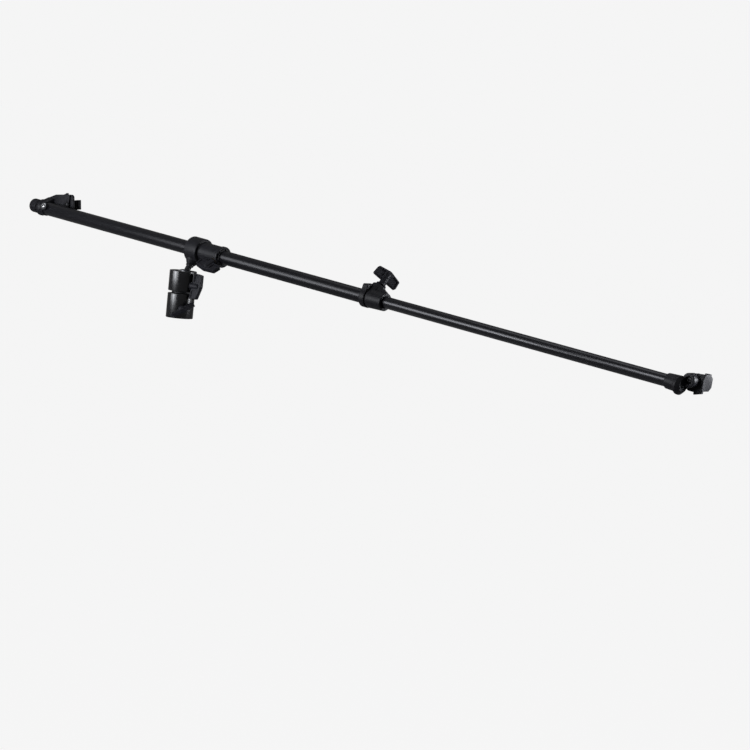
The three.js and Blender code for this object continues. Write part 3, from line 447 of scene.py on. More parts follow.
steelLook = {
    "pattern": "turned", "patternScale": 900.0, "roughness": (0.16, 0.28),
    "dark": (0.55, 0.56, 0.58), "light": (0.72, 0.73, 0.75), "worn": (0.85, 0.85, 0.86),
    "wear": 0.2, "dust": 0.03, "bump": 0.12, "bumpDepth": 0.02,
    "fixed": {"Metallic": 1.0},
}
darkSteelLook = {
    "pattern": "turned", "patternScale": 900.0, "roughness": (0.30, 0.42),
    "dark": (0.008, 0.008, 0.009), "light": (0.016, 0.016, 0.018), "worn": (0.20, 0.20, 0.21),
    "wear": 0.4, "dust": 0.02, "bump": 0.12, "bumpDepth": 0.02,
    "fixed": {"Metallic": 0.3, "Specular IOR Level": 0.4},
}
brassLook = {
    "pattern": "turned", "patternScale": 900.0, "roughness": (0.24, 0.36),
    "dark": (0.50, 0.36, 0.15), "light": (0.66, 0.50, 0.24), "worn": (0.80, 0.66, 0.38),
    "wear": 0.3, "dust": 0.04, "bump": 0.15, "bumpDepth": 0.02,
    "fixed": {"Metallic": 1.0},
}
# black for every nylon piece; on the pan washer the black is painted shade for the gap between the two
# barrels
nylonLook = {
    "pattern": "grain", "patternScale": 1500.0, "roughness": (0.42, 0.55),
    "dark": (0.008, 0.008, 0.009), "light": (0.014, 0.014, 0.015), "worn": (0.04, 0.04, 0.04),
    "wear": 0.3, "dust": 0.02, "bump": 0.15, "bumpDepth": 0.03,
    "fixed": {"Specular IOR Level": 0.3},
}
rubberLook = {
    "pattern": "grain", "patternScale": 2000.0, "roughness": (0.78, 0.92),
    "dark": (0.008, 0.008, 0.009), "light": (0.015, 0.015, 0.016), "worn": (0.03, 0.03, 0.03),
    "wear": 0.3, "dust": 0.06, "bump": 0.4, "bumpDepth": 0.06,
    "fixed": {"Specular IOR Level": 0.2},
}
finishes = {
    "barrel": buildMaterial("glossBarrelPaint", barrelLook),
    "tube": buildMaterial("satinAnodisedTube", tubeLook),
    "innerTube": buildMaterial("smoothAnodisedTube", innerTubeLook),
    "knob": buildMaterial("mattKnobPlasticWithPaintedLight", knobLook),
    "moulding": buildMaterial("satinMouldedPlastic", mouldingLook),
    "steel": buildMaterial("platedSteel", steelLook),
    "darkSteel": buildMaterial("blackenedSteel", darkSteelLook),
    "brass": buildMaterial("machinedBrass", brassLook),
    "nylon": buildMaterial("blackNylonAndGapShade", nylonLook),
    "rubber": buildMaterial("gripRubber", rubberLook),
}
plainGrain = ("knob", "moulding", "nylon", "rubber")
print("materials built:", len(finishes))

# where things are

pose = {
    "ballHeight": 52.0, "stemLean": 27.6, "armSlope": 5.08, "armAxisRise": 42.3, "collarStation": 303.3,
}
basePlace = Matrix.Identity(4)
headPlace = shift(z=pose["ballHeight"]) @ turn(pose["armSlope"], "Y") @ turn(-pose["stemLean"], "X")
clampPlace = headPlace @ shift(z=pose["armAxisRise"])
armPlace = clampPlace @ turn(pose["stemLean"], "X")
collarPlace = armPlace @ shift(x=pose["collarStation"])

# the screws of the four locks; a turn of 0 points along X on the barrels and along Z on the arm
locks = {
    "receiver": {"height": 12.6, "turn": -36.8, "tip": 8.8, "foot": 16.55, "gripTurn": 122, "screw": 3},
    "ball": {"height": 43.5, "turn": 0, "tip": 12.6, "foot": 16.55, "gripTurn": -13, "screw": 2.7},
    "clamp": {"station": 44, "turn": 148.6, "tip": 11.2, "foot": 14.4, "gripTurn": -8, "screw": 3},
    "collar": {"station": 11, "turn": -39, "tip": 9.7, "foot": 20.5, "gripTurn": 58, "screw": 3},
}

# the two clips swivel on screws along Y; seat is the depth at which their heads rest
pivots = {
    "left": {"station": -274, "rise": 11, "swivel": 166, "seat": 9.4},
    "right": {"station": 809.7, "rise": 6.5, "swivel": 0, "seat": 5.5},
}
pivotHole = 2.3


def aroundHead(lock):
    return shift(z=lock["height"]) @ turn(lock["turn"], "Z")


def aroundArm(lock):
    return shift(x=lock["station"]) @ turn(lock["turn"], "X")


def atPivot(side):
    return shift(x=pivots[side]["station"], z=pivots[side]["rise"])


# barrels

knobSpot = {"radius": 5.6, "depth": 1.5}


def knobHole(lock, barrelRadius, holeRadius, start):
    # a screw hole with a flat spot for the knob's neck
    floor = barrelRadius - knobSpot["depth"]
    out = barrelRadius + overrun
    hole = along(lathe("hole", [
        (0, start), (holeRadius, start), (holeRadius, floor),
        (knobSpot["radius"], floor), (knobSpot["radius"], out), (0, out),
    ], facets["pin"]), "X")
    return moved(hole, aroundHead(lock))


lowerBarrel = {
    "radius": 17.75, "height": 32.1, "edge": 0.9, "socketRadius": 8.1, "socketDepth": 24, "mouthEdge": 0.3,
    "roof": 28.6, "boltRoom": 6.7, "hole": 3.3,
}


def buildLowerBarrel(size):
    radius, edge, socket = size["radius"], size["edge"], size["socketRadius"]
    body = lathe("body", roundedOutline([
        (socket + chamfer, 0, size["mouthEdge"]), (radius, 0, edge), (radius, size["height"], edge),
        (size["hole"], size["height"]), (size["hole"], size["roof"]), (size["boltRoom"], size["roof"]),
        (size["boltRoom"], size["socketDepth"]), (socket, size["socketDepth"]), (socket, chamfer),
    ]), facets["barrel"])
    cut(body, knobHole(locks["receiver"], radius, size["hole"], socket - overrun))
    finishPiece(body, "lowerBarrel", "receiver", basePlace, "barrel", "receiver_barrel")


buildLowerBarrel(lowerBarrel)

upperBarrel = {
    "radius": 17.75, "floor": 35.1, "rim": 62.0, "edge": 0.9, "wall": 3, "cavity": 12.3, "mouth": 15.45,
    "mouthEdge": 0.4, "lipShare": 0.44, "bowlSteps": 12, "hole": 3.0, "boltHole": 3.3,
}


def buildUpperBarrel(size):
    radius, edge, cavity = size["radius"], size["edge"], size["cavity"]
    lip = math.acos(size["lipShare"])
    bowl = []
    for step in range(size["bowlSteps"] + 1):
        angle = lip + (math.pi / 2 - lip) * step / size["bowlSteps"]
        bowl.append((cavity * math.sin(angle), pose["ballHeight"] + cavity * math.cos(angle)))
    shelf = size["floor"] + size["wall"]
    body = lathe("body", roundedOutline([
        (size["boltHole"], size["floor"]), (radius, size["floor"], edge), (radius, size["rim"], edge),
        (size["mouth"], size["rim"], size["mouthEdge"]), *bowl, (cavity, shelf), (size["boltHole"], shelf),
    ]), facets["barrel"])
    cut(body, knobHole(locks["ball"], radius, size["hole"], cavity - gap))
    finishPiece(body, "upperBarrel", "housing", basePlace, "barrel", "ball_housing")


buildUpperBarrel(upperBarrel)

washer = {"inner": 3.3, "outer": 12.75, "low": 32.4, "high": 34.8, "edge": 0.4}


def buildWasher(size):
    # the washer takes the black nylon finish, which here is painted shade in the gap between the barrels
    disc = ring("ring", size["inner"], size["outer"], size["low"], size["high"], facets["cap"], size["edge"])
    finishPiece(disc, "panWasher", "receiver", basePlace, "nylon", "pan_washer")


buildWasher(washer)
print("barrels built")

# ball and stem

ballStem = {
    "ball": 12, "ballSteps": 40, "neck": 3.9, "neckEdge": 0.5, "flange": 5.2, "flangeRise": 20.5,
    "flangeLength": 2, "flangeFoot": 0.3, "flangeEdge": 0.4, "tip": 28.2, "bore": 2.3, "boreFloor": 17.9,
}


def buildBall(size):
    radius, steps = size["ball"], size["ballSteps"]
    profile = [(0, radius)]
    for step in range(1, steps):
        angle = math.pi * step / steps
        profile.append((radius * math.sin(angle), radius * math.cos(angle)))
    profile.append((0, -radius))
    finishPiece(lathe("ball", profile, facets["cap"]), "steelBall", "ball_body", headPlace, "steel", "ball")


def buildStem(size):
    neck, flange, rise, edge = size["neck"], size["flange"], size["flangeRise"], size["flangeEdge"]
    low = rise - size["flangeLength"]
    reach = size["ball"] + gap
    foot = math.sqrt(reach ** 2 - neck ** 2)
    body = lathe("stem", roundedOutline([
        (0, reach), (neck, foot), (neck, low - chamfer, size["neckEdge"]), (flange, low, size["flangeFoot"]),
        (flange, rise, edge), (neck, rise), (neck, size["tip"], edge), (size["bore"], size["tip"]),
        (size["bore"], size["boreFloor"]), (0, size["boreFloor"]),
    ]), facets["knob"])
    finishPiece(body, "blackStem", "stem", headPlace, "darkSteel", "ball_stem")


buildBall(ballStem)
buildStem(ballStem)
print("ball and stem built")

# lock knobs

teeGrip = {
    "length": 34.4, "height": 15.5, "shoulder": 12, "thickness": 5.6, "rim": 2.2, "shoulderShare": 0.8,
    "edge": 0.45, "dish": 1, "dishRound": 1, "neckRadius": 5, "neck": 4, "neckRound": 0.5,
    "flange": 0, "flangeEdge": 0.6, "bore": 11, "screwEdge": 0.5,
}
collarGrip = dict(teeGrip, neck=7.6, flange=6.8, length=35.2, height=15.8, shoulder=12.0)


def cutDishes(grip, size, half, top, shoulder):
    # a shallow hollow on each side of the neck, on both faces
    foot, rim, dish = size["neck"], size["rim"], size["dish"]
    thick = size["thickness"] / 2
    inner, outer = size["neckRadius"] + rim / 2, half - rim
    corner = size["dishRound"]
    for side in (-1, 1):
        outline = roundedOutline([
            (side * inner, foot + rim, corner), (side * outer, foot + rim, corner),
            (side * (outer - dish), shoulder - rim / 2, corner), (side * inner, top - 2 * rim, corner),
        ], steps=4)
        for face in (-1, 1):
            low, high = sorted((face * (thick - dish), face * (thick + overrun)))
            cut(grip, prism("dish", outline, low, high, upright=True))


def buildKnob(name, body, place, screwRadius, node, size):
    half, foot, rim = size["length"] / 2, size["neck"], size["rim"]
    top, shoulder = foot + size["height"], foot + size["shoulder"]
    shoulderRound = rim * size["shoulderShare"]
    outline = roundedOutline([
        (-half, foot, rim), (half, foot, rim), (half - size["dish"], shoulder, shoulderRound),
        (0, top, half / 2), (size["dish"] - half, shoulder, shoulderRound),
    ], steps=6)
    thick = size["thickness"] / 2
    grip = prism("grip", outline, -thick, thick, soft=size["edge"], upright=True)
    cutDishes(grip, size, half, top, shoulder)
    neck = size["neckRadius"]
    joined(grip, lathe("neck", roundedOutline([
        (0, 0), (neck, 0, chamfer), (neck - chamfer / 2, foot),
        (neck - chamfer, top - 2 * rim, size["neckRound"]), (0, top - rim),
    ], steps=4), facets["knob"]))
    if size["flange"]:
        joined(grip, rod("flange", size["flange"], 0, rim, facets["knob"], size["flangeEdge"]))
    cut(grip, rod("bore", screwRadius + gap, -overrun, size["bore"], facets["pin"]))
    finishPiece(grip, name, body, place, "knob", node)


def buildLock(name, node, body, place, lock, size):
    # screw along +Z of the place, knob at the lock's foot
    end = lock["foot"] + size["bore"] - gap
    screw = rod("screw", lock["screw"], lock["tip"], end, facets["pin"], size["screwEdge"])
    finishPiece(screw, name + "Screw", body, place, "steel", node + "_screw")
    knobPlace = place @ shift(z=lock["foot"]) @ turn(lock["gripTurn"], "Z")
    buildKnob(name + "Knob", body, knobPlace, lock["screw"], node + "_knob", size)


receiverLine = aroundHead(locks["receiver"]) @ turn(90, "Y")
ballLine = aroundHead(locks["ball"]) @ turn(90, "Y")
clampLine = clampPlace @ aroundArm(locks["clamp"])
collarLine = collarPlace @ aroundArm(locks["collar"])
buildLock("receiverLock", "receiver_lock", "receiver_lock", receiverLine, locks["receiver"], teeGrip)
buildLock("ballLock", "ball_lock", "ball_lock", ballLine, locks["ball"], teeGrip)
buildLock("clamp", "clamp", "clamp_lock", clampLine, locks["clamp"], teeGrip)
buildLock("collar", "collar", "collar_lock", collarLine, locks["collar"], collarGrip)
print("lock knobs built")

# clamp round the arm

clampSize = {
    "ring": 17, "ringStart": -9.7, "ringEnd": 12.3, "ringRound": 1.4, "shoulderRound": 1.2,
    "sleeve": 13, "sleeveEnd": 48.7, "sleeveRound": 0.5,
    "lipLength": 4.5, "lipHeight": 0.9, "lipFoot": 0.6, "lipRound": 0.4,
    "foot": 5.6, "footRound": 0.5, "neck": 9, "neckRound": 3, "rise": 21.5, "bore": 10.8,
    "boss": 6, "bossReach": 14, "insert": 5.3, "spigot": 4.2, "headRoom": 5.9, "headSeat": 14.1,
}


def buildClamp(size):
    start, end, lip = size["ringStart"], size["sleeveEnd"], size["sleeveEnd"] - size["lipLength"]
    sleeve, lipRadius = size["sleeve"], size["sleeve"] + size["lipHeight"]
    body = along(lathe("clamp", roundedOutline([
        (0, start), (size["ring"], start, size["ringRound"]),
        (size["ring"], size["ringEnd"], size["shoulderRound"]),
        (sleeve, size["ringEnd"], size["sleeveRound"]), (sleeve, lip, size["lipFoot"]),
        (lipRadius, lip + size["lipHeight"], size["lipRound"]),
        (lipRadius, end, chamfer), (0, end),
    ], steps=6), facets["tube"]), "X")
    rise, bore = size["rise"], size["bore"]
    neck = lathe("neck", roundedOutline([
        (0, -rise), (size["foot"], -rise, size["footRound"]),
        (size["neck"], chamfer - size["ring"], size["neckRound"]), (size["neck"], -bore), (0, -bore),
    ]), facets["knob"])
    towards = aroundArm(locks["clamp"])
    boss = moved(rod("boss", size["boss"], 0, size["bossReach"], facets["knob"], chamfer), towards)
    joined(body, neck, boss)
    tunnel = along(rod("bore", bore, start - overrun, end + overrun, facets["tube"]), "X")
    pocket = moved(rod("pocket", size["insert"], 0, size["bossReach"] + overrun, facets["knob"]), towards)
    spigot = rod("spigot", size["spigot"], -rise - overrun, 0, facets["pin"])
    head = rod("head", size["headRoom"], -size["headSeat"], 0, facets["pin"])
    cut(body, tunnel, pocket, spigot, head)
    finishPiece(body, "clampBody", "clamp", clampPlace, "moulding", "clamp_body")


buildClamp(clampSize)

linerSize = {"inner": 9.3, "outer": 10.5, "past": 1.5, "slot": 1.6, "edge": 0.3}


def buildLiner(size):
    # split along its top, and a little longer than the clamp
    start, end = clampSize["ringStart"] - size["past"], clampSize["sleeveEnd"] + size["past"]
    liner = along(ring("liner", size["inner"], size["outer"], start, end, facets["tube"], size["edge"]), "X")
    left, right, half = start - overrun, end + overrun, size["slot"] / 2
    outline = [(left, -half), (right, -half), (right, half), (left, half)]
    cut(liner, prism("slot", outline, 0, size["outer"] + size["past"]))
    finishPiece(liner, "clampLiner", "liner", armPlace, "nylon", "clamp_liner")


buildLiner(linerSize)
print("clamp built")

# tubes

tubes = {
    "outer": 9, "outerBore": 8, "left": -316, "right": 309.5,
    "inner": 7.5, "innerBore": 6.3, "innerStart": 228.5, "innerEnd": 797, "edge": 0.35,
}


def buildThickTube(size):
    bore, radius, edge = size["outerBore"], size["outer"], size["edge"]
    tube = along(ring("tube", bore, radius, size["left"], size["right"], facets["tube"], edge), "X")
    finishPiece(tube, "thickTube", "thick_tube", armPlace, "tube", "outer_tube")


def buildThinTube(size):
    bore, radius, edge = size["innerBore"], size["inner"], size["edge"]
    tube = along(ring("tube", bore, radius, size["innerStart"], size["innerEnd"], facets["tube"], edge), "X")
    finishPiece(tube, "thinTube", "thin_tube", armPlace, "innerTube", "inner_tube")


buildThickTube(tubes)
buildThinTube(tubes)
print("tubes built")

# closed end of the thick tube and the clip bracket on it

bandScrew = {"station": -297.2, "turn": 70, "hole": 2.3, "floor": 2.9, "out": 13.2, "seat": 12.2, "end": 3.2}


def bandScrewHole():
    # goes through the bracket's pad into the closed end
    hole = rod("hole", bandScrew["hole"], bandScrew["floor"], bandScrew["out"], facets["hole"])
    return moved(hole, aroundArm(bandScrew))


endCap = {
    "radius": 9.4, "dome": 4.2, "start": -330.8, "face": -316.3, "faceRound": 0.6,
    "plug": 7.7, "plugLength": 25,
}


def buildEndCap(size):
    radius, start, face = size["radius"], size["start"], size["face"]
    end = face + size["plugLength"]
    body = along(lathe("cap", roundedOutline([
        (0, start), (radius, start, size["dome"]), (radius, face, size["faceRound"]),
        (size["plug"], face), (size["plug"], end, chamfer), (0, end),
    ], steps=9), facets["cap"]), "X")
    cut(body, bandScrewHole())
    finishPiece(body, "endCap", "thick_tube", armPlace, "moulding", "left_end_cap")


buildEndCap(endCap)

bracket = {
    "band": 11.2, "bandEnd": 10, "start": -312.5, "end": -300.5, "rimLength": 3.5,
    "rimRound": 0.8, "stepRound": 0.6, "slopeRound": 1, "bandEdge": 0.5,
    "padRadius": 5.6, "padReach": 11.9, "padEdge": 0.6, "bore": 9.3, "boreEnd": 17,
    "back": 12.0, "right": -271, "bend": -299, "armStart": -311.5, "lugRadius": 8.5,
    "bendRise": 20.4, "endRise": 25.5, "startRise": 14.4, "tipRound": 1.6, "startRound": 0.9,
    "armEdge": 0.5, "webEdge": 0.3,
}


def bracketBand(size):
    band, small, start, end = size["band"], size["bandEnd"], size["start"], size["end"]
    rim = size["rimLength"]
    return along(lathe("band", roundedOutline([
        (0, start), (band, start, size["rimRound"]), (band, start + rim, size["stepRound"]),
        (small, start + 2 * rim, size["slopeRound"]), (small, end, size["bandEdge"]), (0, end),
    ], steps=4), facets["cap"]), "X")


def bracketArm(size, front):
    base = chamfer - size["band"]
    lug = size["lugRadius"]
    outline = roundedOutline([
        (size["start"], base, chamfer), (size["end"], base, chamfer),
        (size["right"], pivots["left"]["rise"] - lug, lug / 2),
        (size["right"], size["endRise"], size["tipRound"]), (size["bend"], size["bendRise"], lug / 2),
        (size["armStart"], size["startRise"], size["startRound"]), (size["armStart"], 0, chamfer),
    ], steps=6)
    return prism("arm", outline, front, size["back"], soft=size["armEdge"], upright=True)


def bracketWeb(size, front):
    # drawn as (height, depth), then swapped so that it runs along the tube
    outline = [
        (-size["bandEnd"], 0), (-size["band"] / 2, size["back"]), (size["startRise"], size["back"]),
        (size["startRise"], front), (size["band"] - chamfer, 0),
    ]
    web = prism("web", outline, size["start"], size["end"], soft=size["webEdge"])
    web.data.transform(Matrix(((0, 0, 1, 0), (0, 1, 0, 0), (1, 0, 0, 0), (0, 0, 0, 1))))
    web.data.flip_normals()
    return web


def buildBracket(size):
    body = bracketBand(size)
    front = pivots["left"]["seat"]
    pad = rod("pad", size["padRadius"], 0, size["padReach"], facets["knob"], size["padEdge"])
    joined(body, moved(pad, aroundArm(bandScrew)), bracketArm(size, front), bracketWeb(size, front))
    boreEnd = pivots["left"]["station"] + size["boreEnd"]
    bore = along(rod("bore", size["bore"], size["start"] - overrun, boreEnd, facets["cap"]), "X")
    pivot = along(rod("pivot", pivotHole, 0, size["back"] + overrun, facets["hole"]), "Y")
    cut(body, bore, bandScrewHole(), moved(pivot, atPivot("left")))
    finishPiece(body, "clipBracket", "thick_tube", armPlace, "moulding", "left_clip_bracket")


buildBracket(bracket)

panScrew = {
    "head": 4.2, "headHeight": 2, "crownShare": 0.62, "crownRound": 0.8, "headRound": 0.7, "skirt": 0.6,
    "skirtEdge": 0.15, "shank": 2, "tipRound": 0.4, "key": 2.0, "keyDepth": 0.9,
}


def buildPanScrew(name, body, place, seat, end, finish, node):
    # head above -Z, shank along +Z
    size = panScrew
    head, shank, crown = size["head"], size["shank"], seat - size["headHeight"]
    screw = lathe("screw", roundedOutline([
        (0, crown), (head * size["crownShare"], crown, size["crownRound"]),
        (head, seat - size["skirt"], size["headRound"]), (head, seat, size["skirtEdge"]), (shank, seat),
        (shank, end, size["tipRound"]), (0, end),
    ]), facets["knob"])
    top, floor = crown - overrun / 2, crown + size["keyDepth"]
    cut(screw, lathe("key", [(0, top), (size["key"], top), (size["key"], floor), (0, floor)], facets["hex"]))
    finishPiece(screw, name, body, place, finish, node)


bandScrewPlace = armPlace @ shift(x=bandScrew["station"]) @ turn(bandScrew["turn"] - 180, "X")
buildPanScrew(
    "bandScrew", "thick_tube", bandScrewPlace, -bandScrew["seat"], -bandScrew["end"],
    "steel", "left_band_screw")
print("closed end and bracket built")

# rim clips: origin on the pivot's axis, closed side +X, mouth -X

rimClip = {
    "face": 12.3, "plate": 3.4, "depth": 17.6, "back": 13.4, "corner": 4.5,
    "hubReach": 9.5, "hubTop": 7, "hubBottom": -13.4, "throat": 2,
    "top": 9.2, "bottom": -16.4, "backBottom": -13.2, "wallTop": 9, "wallBottom": -10.5, "wall": 3.5,
    "pinX": 6.4, "pinY": 26.6, "pin": 1.1, "pinRoomLow": -16, "pinRoomHigh": 12,
    "barrel": 2.5, "flapHalf": 6.6, "lug": 2.1,
}
clipJaw = {
    "throatRound": 0.5, "toeRound": 0.8, "plateEdge": 0.45, "wallRound": 1, "wallFoot": 0.5, "wallEdge": 0.5,
    "lugTop": 1.5, "lugNose": 1.6, "lugChin": 1.2, "lugEdge": 0.3, "sharp": 20,
    "facet": ((1.5, 12.3, 7), (13.4, 12.3, 0.8), (13.4, 15.3, 9)), "block": 30,
}
clipNut = {"width": 7, "hole": 2.3, "sunk": 1.8, "height": 2.5}
nutRadius = clipNut["width"] / math.sqrt(3)


def pinRoom(size):
    room = rod("pinRoom", size["pin"] + gap, size["pinRoomLow"], size["pinRoomHigh"], facets["hole"])
    return moved(room, shift(x=size["pinX"], y=size["pinY"]))


def facetCutter(corners, block):
    # a block whose lower side lies on the plane of the three corners, standing off the front face
    first, second, third = (Vector(corner) for corner in corners)
    normal = (second - first).cross(third - first).normalized()
    if normal.y > 0:
        normal = -normal
    cutter = prism("facet", [(-block, -block), (block, -block), (block, block), (-block, block)], 0, block)
    return moved(cutter, Matrix.Translation(first * mm) @ normal.to_track_quat("Z", "Y").to_matrix().to_4x4())


def jawPlate(size, seat):
    corner, hub, back = size["corner"], size["hubReach"], size["back"]
    outline = roundedOutline([
        (-hub, size["hubTop"], corner), (-hub, size["hubBottom"], corner),
        (size["throat"], size["hubBottom"], clipJaw["throatRound"]),
        (size["throat"], size["bottom"], clipJaw["toeRound"]),
        (back, size["backBottom"], clipJaw["toeRound"]), (back, size["wallTop"], chamfer),
        (seat, size["top"], corner / 2),
    ], steps=6)
    face = size["face"]
    return prism("plate", outline, face, face + size["plate"], soft=clipJaw["plateEdge"], upright=True)


def jawWall(size, seat, back):
    low, high, corner, bend = size["wallBottom"], size["wallTop"], size["corner"], clipJaw["wallRound"]
    outline = roundedOutline([
        (size["face"], low, clipJaw["wallFoot"]), (back - corner, low, bend), (back, low + corner, bend),
        (back, high - corner, bend), (back - corner, high, bend), (size["face"], high, clipJaw["wallFoot"]),
    ], steps=4)
    wall = prism("wall", outline, seat, size["back"], soft=clipJaw["wallEdge"])
    return moved(wall, acrossX)


def jawLug(size, seat, back, end):
    # one of the two ears that hold the pin, at the given end of the flap
    near, far = size["flapHalf"] + gap, size["flapHalf"] + gap + size["lug"]
    low, high = sorted((end * near, end * far))
    pinX, pinY, barrel = size["pinX"], size["pinY"], size["barrel"]
    outline = roundedOutline([
        (seat + chamfer, pinY - barrel - chamfer), (seat + chamfer, back), (pinX, back, clipJaw["lugTop"]),
        (pinX - barrel, pinY + chamfer, clipJaw["lugNose"]),
        (pinX - barrel, pinY - chamfer, clipJaw["lugChin"]),
        (pinX, pinY - barrel - chamfer, clipJaw["lugChin"]),
    ], steps=4)
    return prism("lug", outline, low, high, soft=clipJaw["lugEdge"])


def buildJaw(side, body, place, size):
    front, back = size["face"] + size["plate"], size["face"] + size["depth"]
    seat = size["back"] - size["wall"]
    jaw = jawPlate(size, seat)
    joined(jaw, jawWall(size, seat, back))
    for end in (-1, 1):
        joined(jaw, jawLug(size, seat, back, end))
    hole = rod("screwHole", pivotHole, size["face"] - overrun, front + overrun, facets["hole"])
    pocket = rod("nutPocket", nutRadius + gap, front - clipNut["sunk"], front + overrun, facets["hex"])
    cut(jaw, pinRoom(size), along(hole, "Y"), along(pocket, "Y"))
    cut(jaw, facetCutter(clipJaw["facet"], clipJaw["block"]))
    finishPiece(jaw, side + "Jaw", body, place, "moulding", side + "_clip_jaw", clipJaw["sharp"])


clipFlap = {
    "low": 25.1, "plate": 3, "reach": 7.5, "lip": 3.5, "lipRound": 0.6, "edge": 0.4, "springRoom": 4.95,
    "notchTop": 32,
}


def buildFlap(side, body, place, size):
    low, high = clipFlap["low"], clipFlap["low"] + clipFlap["plate"]
    reach, lip, tipRound = clipFlap["reach"], clipFlap["lip"], clipFlap["lipRound"]
    pinX, half = size["pinX"], size["flapHalf"]
    flap = prism("flap", roundedOutline([
        (pinX, low), (pinX, high), (lip - reach, high, lip), (-reach, high + lip / 2, tipRound),
        (-reach, high - chamfer, tipRound), (lip - reach, low, lip),
    ], steps=6), -half, half, soft=clipFlap["edge"])
    barrel = rod("barrel", size["barrel"], -half, half, facets["pin"])
    joined(flap, moved(barrel, shift(x=pinX, y=size["pinY"])))
    # room for the spring at one end of the barrel
    left, right = pinX - (size["barrel"] + chamfer), pinX + (size["barrel"] + chamfer)
    bottom, top = low - overrun, clipFlap["notchTop"]
    outline = [(left, bottom), (right, bottom), (right, top), (left, top)]
    notch = prism("notch", outline, -half - overrun, clipFlap["springRoom"] - half)
    cut(flap, notch, pinRoom(size))
    finishPiece(flap, side + "Flap", body, place, "moulding", side + "_clip_flap")


clipSpring = {"turns": 3, "pitch": 1.15, "wire": 0.3, "coil": 1.85, "turnSteps": 24}


def buildSpring(side, body, place, size):
    curve = bpy.data.curves.new(side + "Spring", "CURVE")
    curve.dimensions = "3D"
    curve.bevel_depth = clipSpring["wire"] * mm
    curve.bevel_resolution = 3
    curve.use_fill_caps = True
    spline = curve.splines.new("POLY")
    steps = clipSpring["turns"] * clipSpring["turnSteps"]
    start = 2 * clipSpring["wire"] - size["flapHalf"]
    spline.points.add(steps)
    for step in range(steps + 1):
        angle = 2 * math.pi * step / clipSpring["turnSteps"]
        x = size["pinX"] + clipSpring["coil"] * math.cos(angle)
        y = size["pinY"] + clipSpring["coil"] * math.sin(angle)
        z = start + clipSpring["pitch"] * step / clipSpring["turnSteps"]
        spline.points[step].co = (x * mm, y * mm, z * mm, 1)
    obj = bpy.data.objects.new(side + "Spring", curve)
    scene.collection.objects.link(obj)
    curve.materials.append(finishes["steel"])
    obj.matrix_world = place
    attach(obj, body)
    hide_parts(side + "_clip_spring")


clipPads = {
    "thickness": 1.2, "corner": 0.7, "flapCorner": 0.8, "edge": 0.3,
    "ribPitch": 2.4, "grooveWidth": 0.7, "grooveDepth": 0.4, "groovePast": 1,
    "frontGrooves": 7, "frontStart": -10.2, "frontEnd": 11, "flapGrooves": 5, "flapStart": -5,
}


def cutGrooves(pad, left, right, first, count, low, high):
    # shallow grooves that leave ribs across the grip face
    for i in range(count):
        bottom = first + clipPads["ribPitch"] * i
        top = bottom + clipPads["grooveWidth"]
        outline = [(left, bottom), (right, bottom), (right, top), (left, top)]
        cut(pad, prism("groove", outline, low, high, upright=True))


def buildFrontPad(side, body, place, size):
    face = size["face"] + size["plate"] + gap
    back = face + clipPads["thickness"]
    right, corner = size["back"] - size["wall"] - gap, clipPads["corner"]
    pad = prism("pad", roundedOutline([
        (size["throat"], size["hubTop"], corner), (size["throat"], size["bottom"] + size["plate"], corner),
        (right, size["backBottom"] + size["plate"] / 2, corner),
        (right, size["wallTop"] - size["plate"] / 2, corner),
    ], steps=4), face, back, soft=clipPads["edge"], upright=True)
    cut(pad, along(rod("hole", nutRadius + 2 * gap, face - overrun, back + overrun, facets["pin"]), "Y"))
    low, high = back - clipPads["grooveDepth"], back + clipPads["groovePast"]
    cutGrooves(pad, 0, clipPads["frontEnd"], clipPads["frontStart"], clipPads["frontGrooves"], low, high)
    finishPiece(pad, side + "FrontPad", body, place, "rubber", side + "_clip_front_pad")


def buildFlapPad(side, body, place, size):
    high = clipFlap["low"] - gap
    low = high - clipPads["thickness"]
    left, right = clipFlap["lip"] - clipFlap["reach"], size["pinX"] - size["barrel"] - chamfer
    half, corner = size["flapHalf"] - chamfer, clipPads["flapCorner"]
    pad = prism("pad", roundedOutline([
        (left, -half, corner), (right, -half, corner), (right, half, corner), (left, half, corner),
    ], steps=4), low, high, soft=clipPads["edge"], upright=True)
    past = clipPads["groovePast"]
    bottom, top = low - past, low + clipPads["grooveDepth"]
    cutGrooves(pad, left - past, right + past, clipPads["flapStart"], clipPads["flapGrooves"], bottom, top)
    finishPiece(pad, side + "FlapPad", body, place, "rubber", side + "_clip_flap_pad")


pinEdge = 0.25


def buildPin(side, body, place, size):
    end = size["flapHalf"] + gap + size["lug"]
    pin = rod("pin", size["pin"], -end, end, facets["hole"], pinEdge)
    moved(pin, shift(x=size["pinX"], y=size["pinY"]))
    finishPiece(pin, side + "Pin", body, place, "steel", side + "_clip_pin")


def buildNutAndScrew(side, body, place, size):
    low = size["face"] + size["plate"] - clipNut["sunk"] + gap
    high = low + clipNut["height"]
    hole = clipNut["hole"]
    nut = lathe("nut", [(hole, low), (nutRadius, low), (nutRadius, high), (hole, high)], facets["hex"])
    finishPiece(along(nut, "Y"), side + "Nut", body, place, "steel", side + "_clip_nut")
    screwPlace = place @ turn(-90, "X")
    seat = pivots[side]["seat"] - gap
    # the clip screws are dark steel; their darkness is partly painted shade for the recess round the head
    buildPanScrew(side + "Screw", body, screwPlace, seat, high, "darkSteel", side + "_clip_screw")


def buildClip(side, size):
    body, flapBody = side + "_clip", side + "_flap"
    place = armPlace @ atPivot(side) @ turn(pivots[side]["swivel"], "Y")
    buildJaw(side, body, place, size)
    buildFlap(side, flapBody, place, size)
    buildSpring(side, body, place, size)
    buildFrontPad(side, body, place, size)
    buildFlapPad(side, flapBody, place, size)
    buildPin(side, body, place, size)
    buildNutAndScrew(side, body, place, size)


for side in ("left", "right"):
    buildClip(side, rimClip)
print("rim clips built")

# lock collar

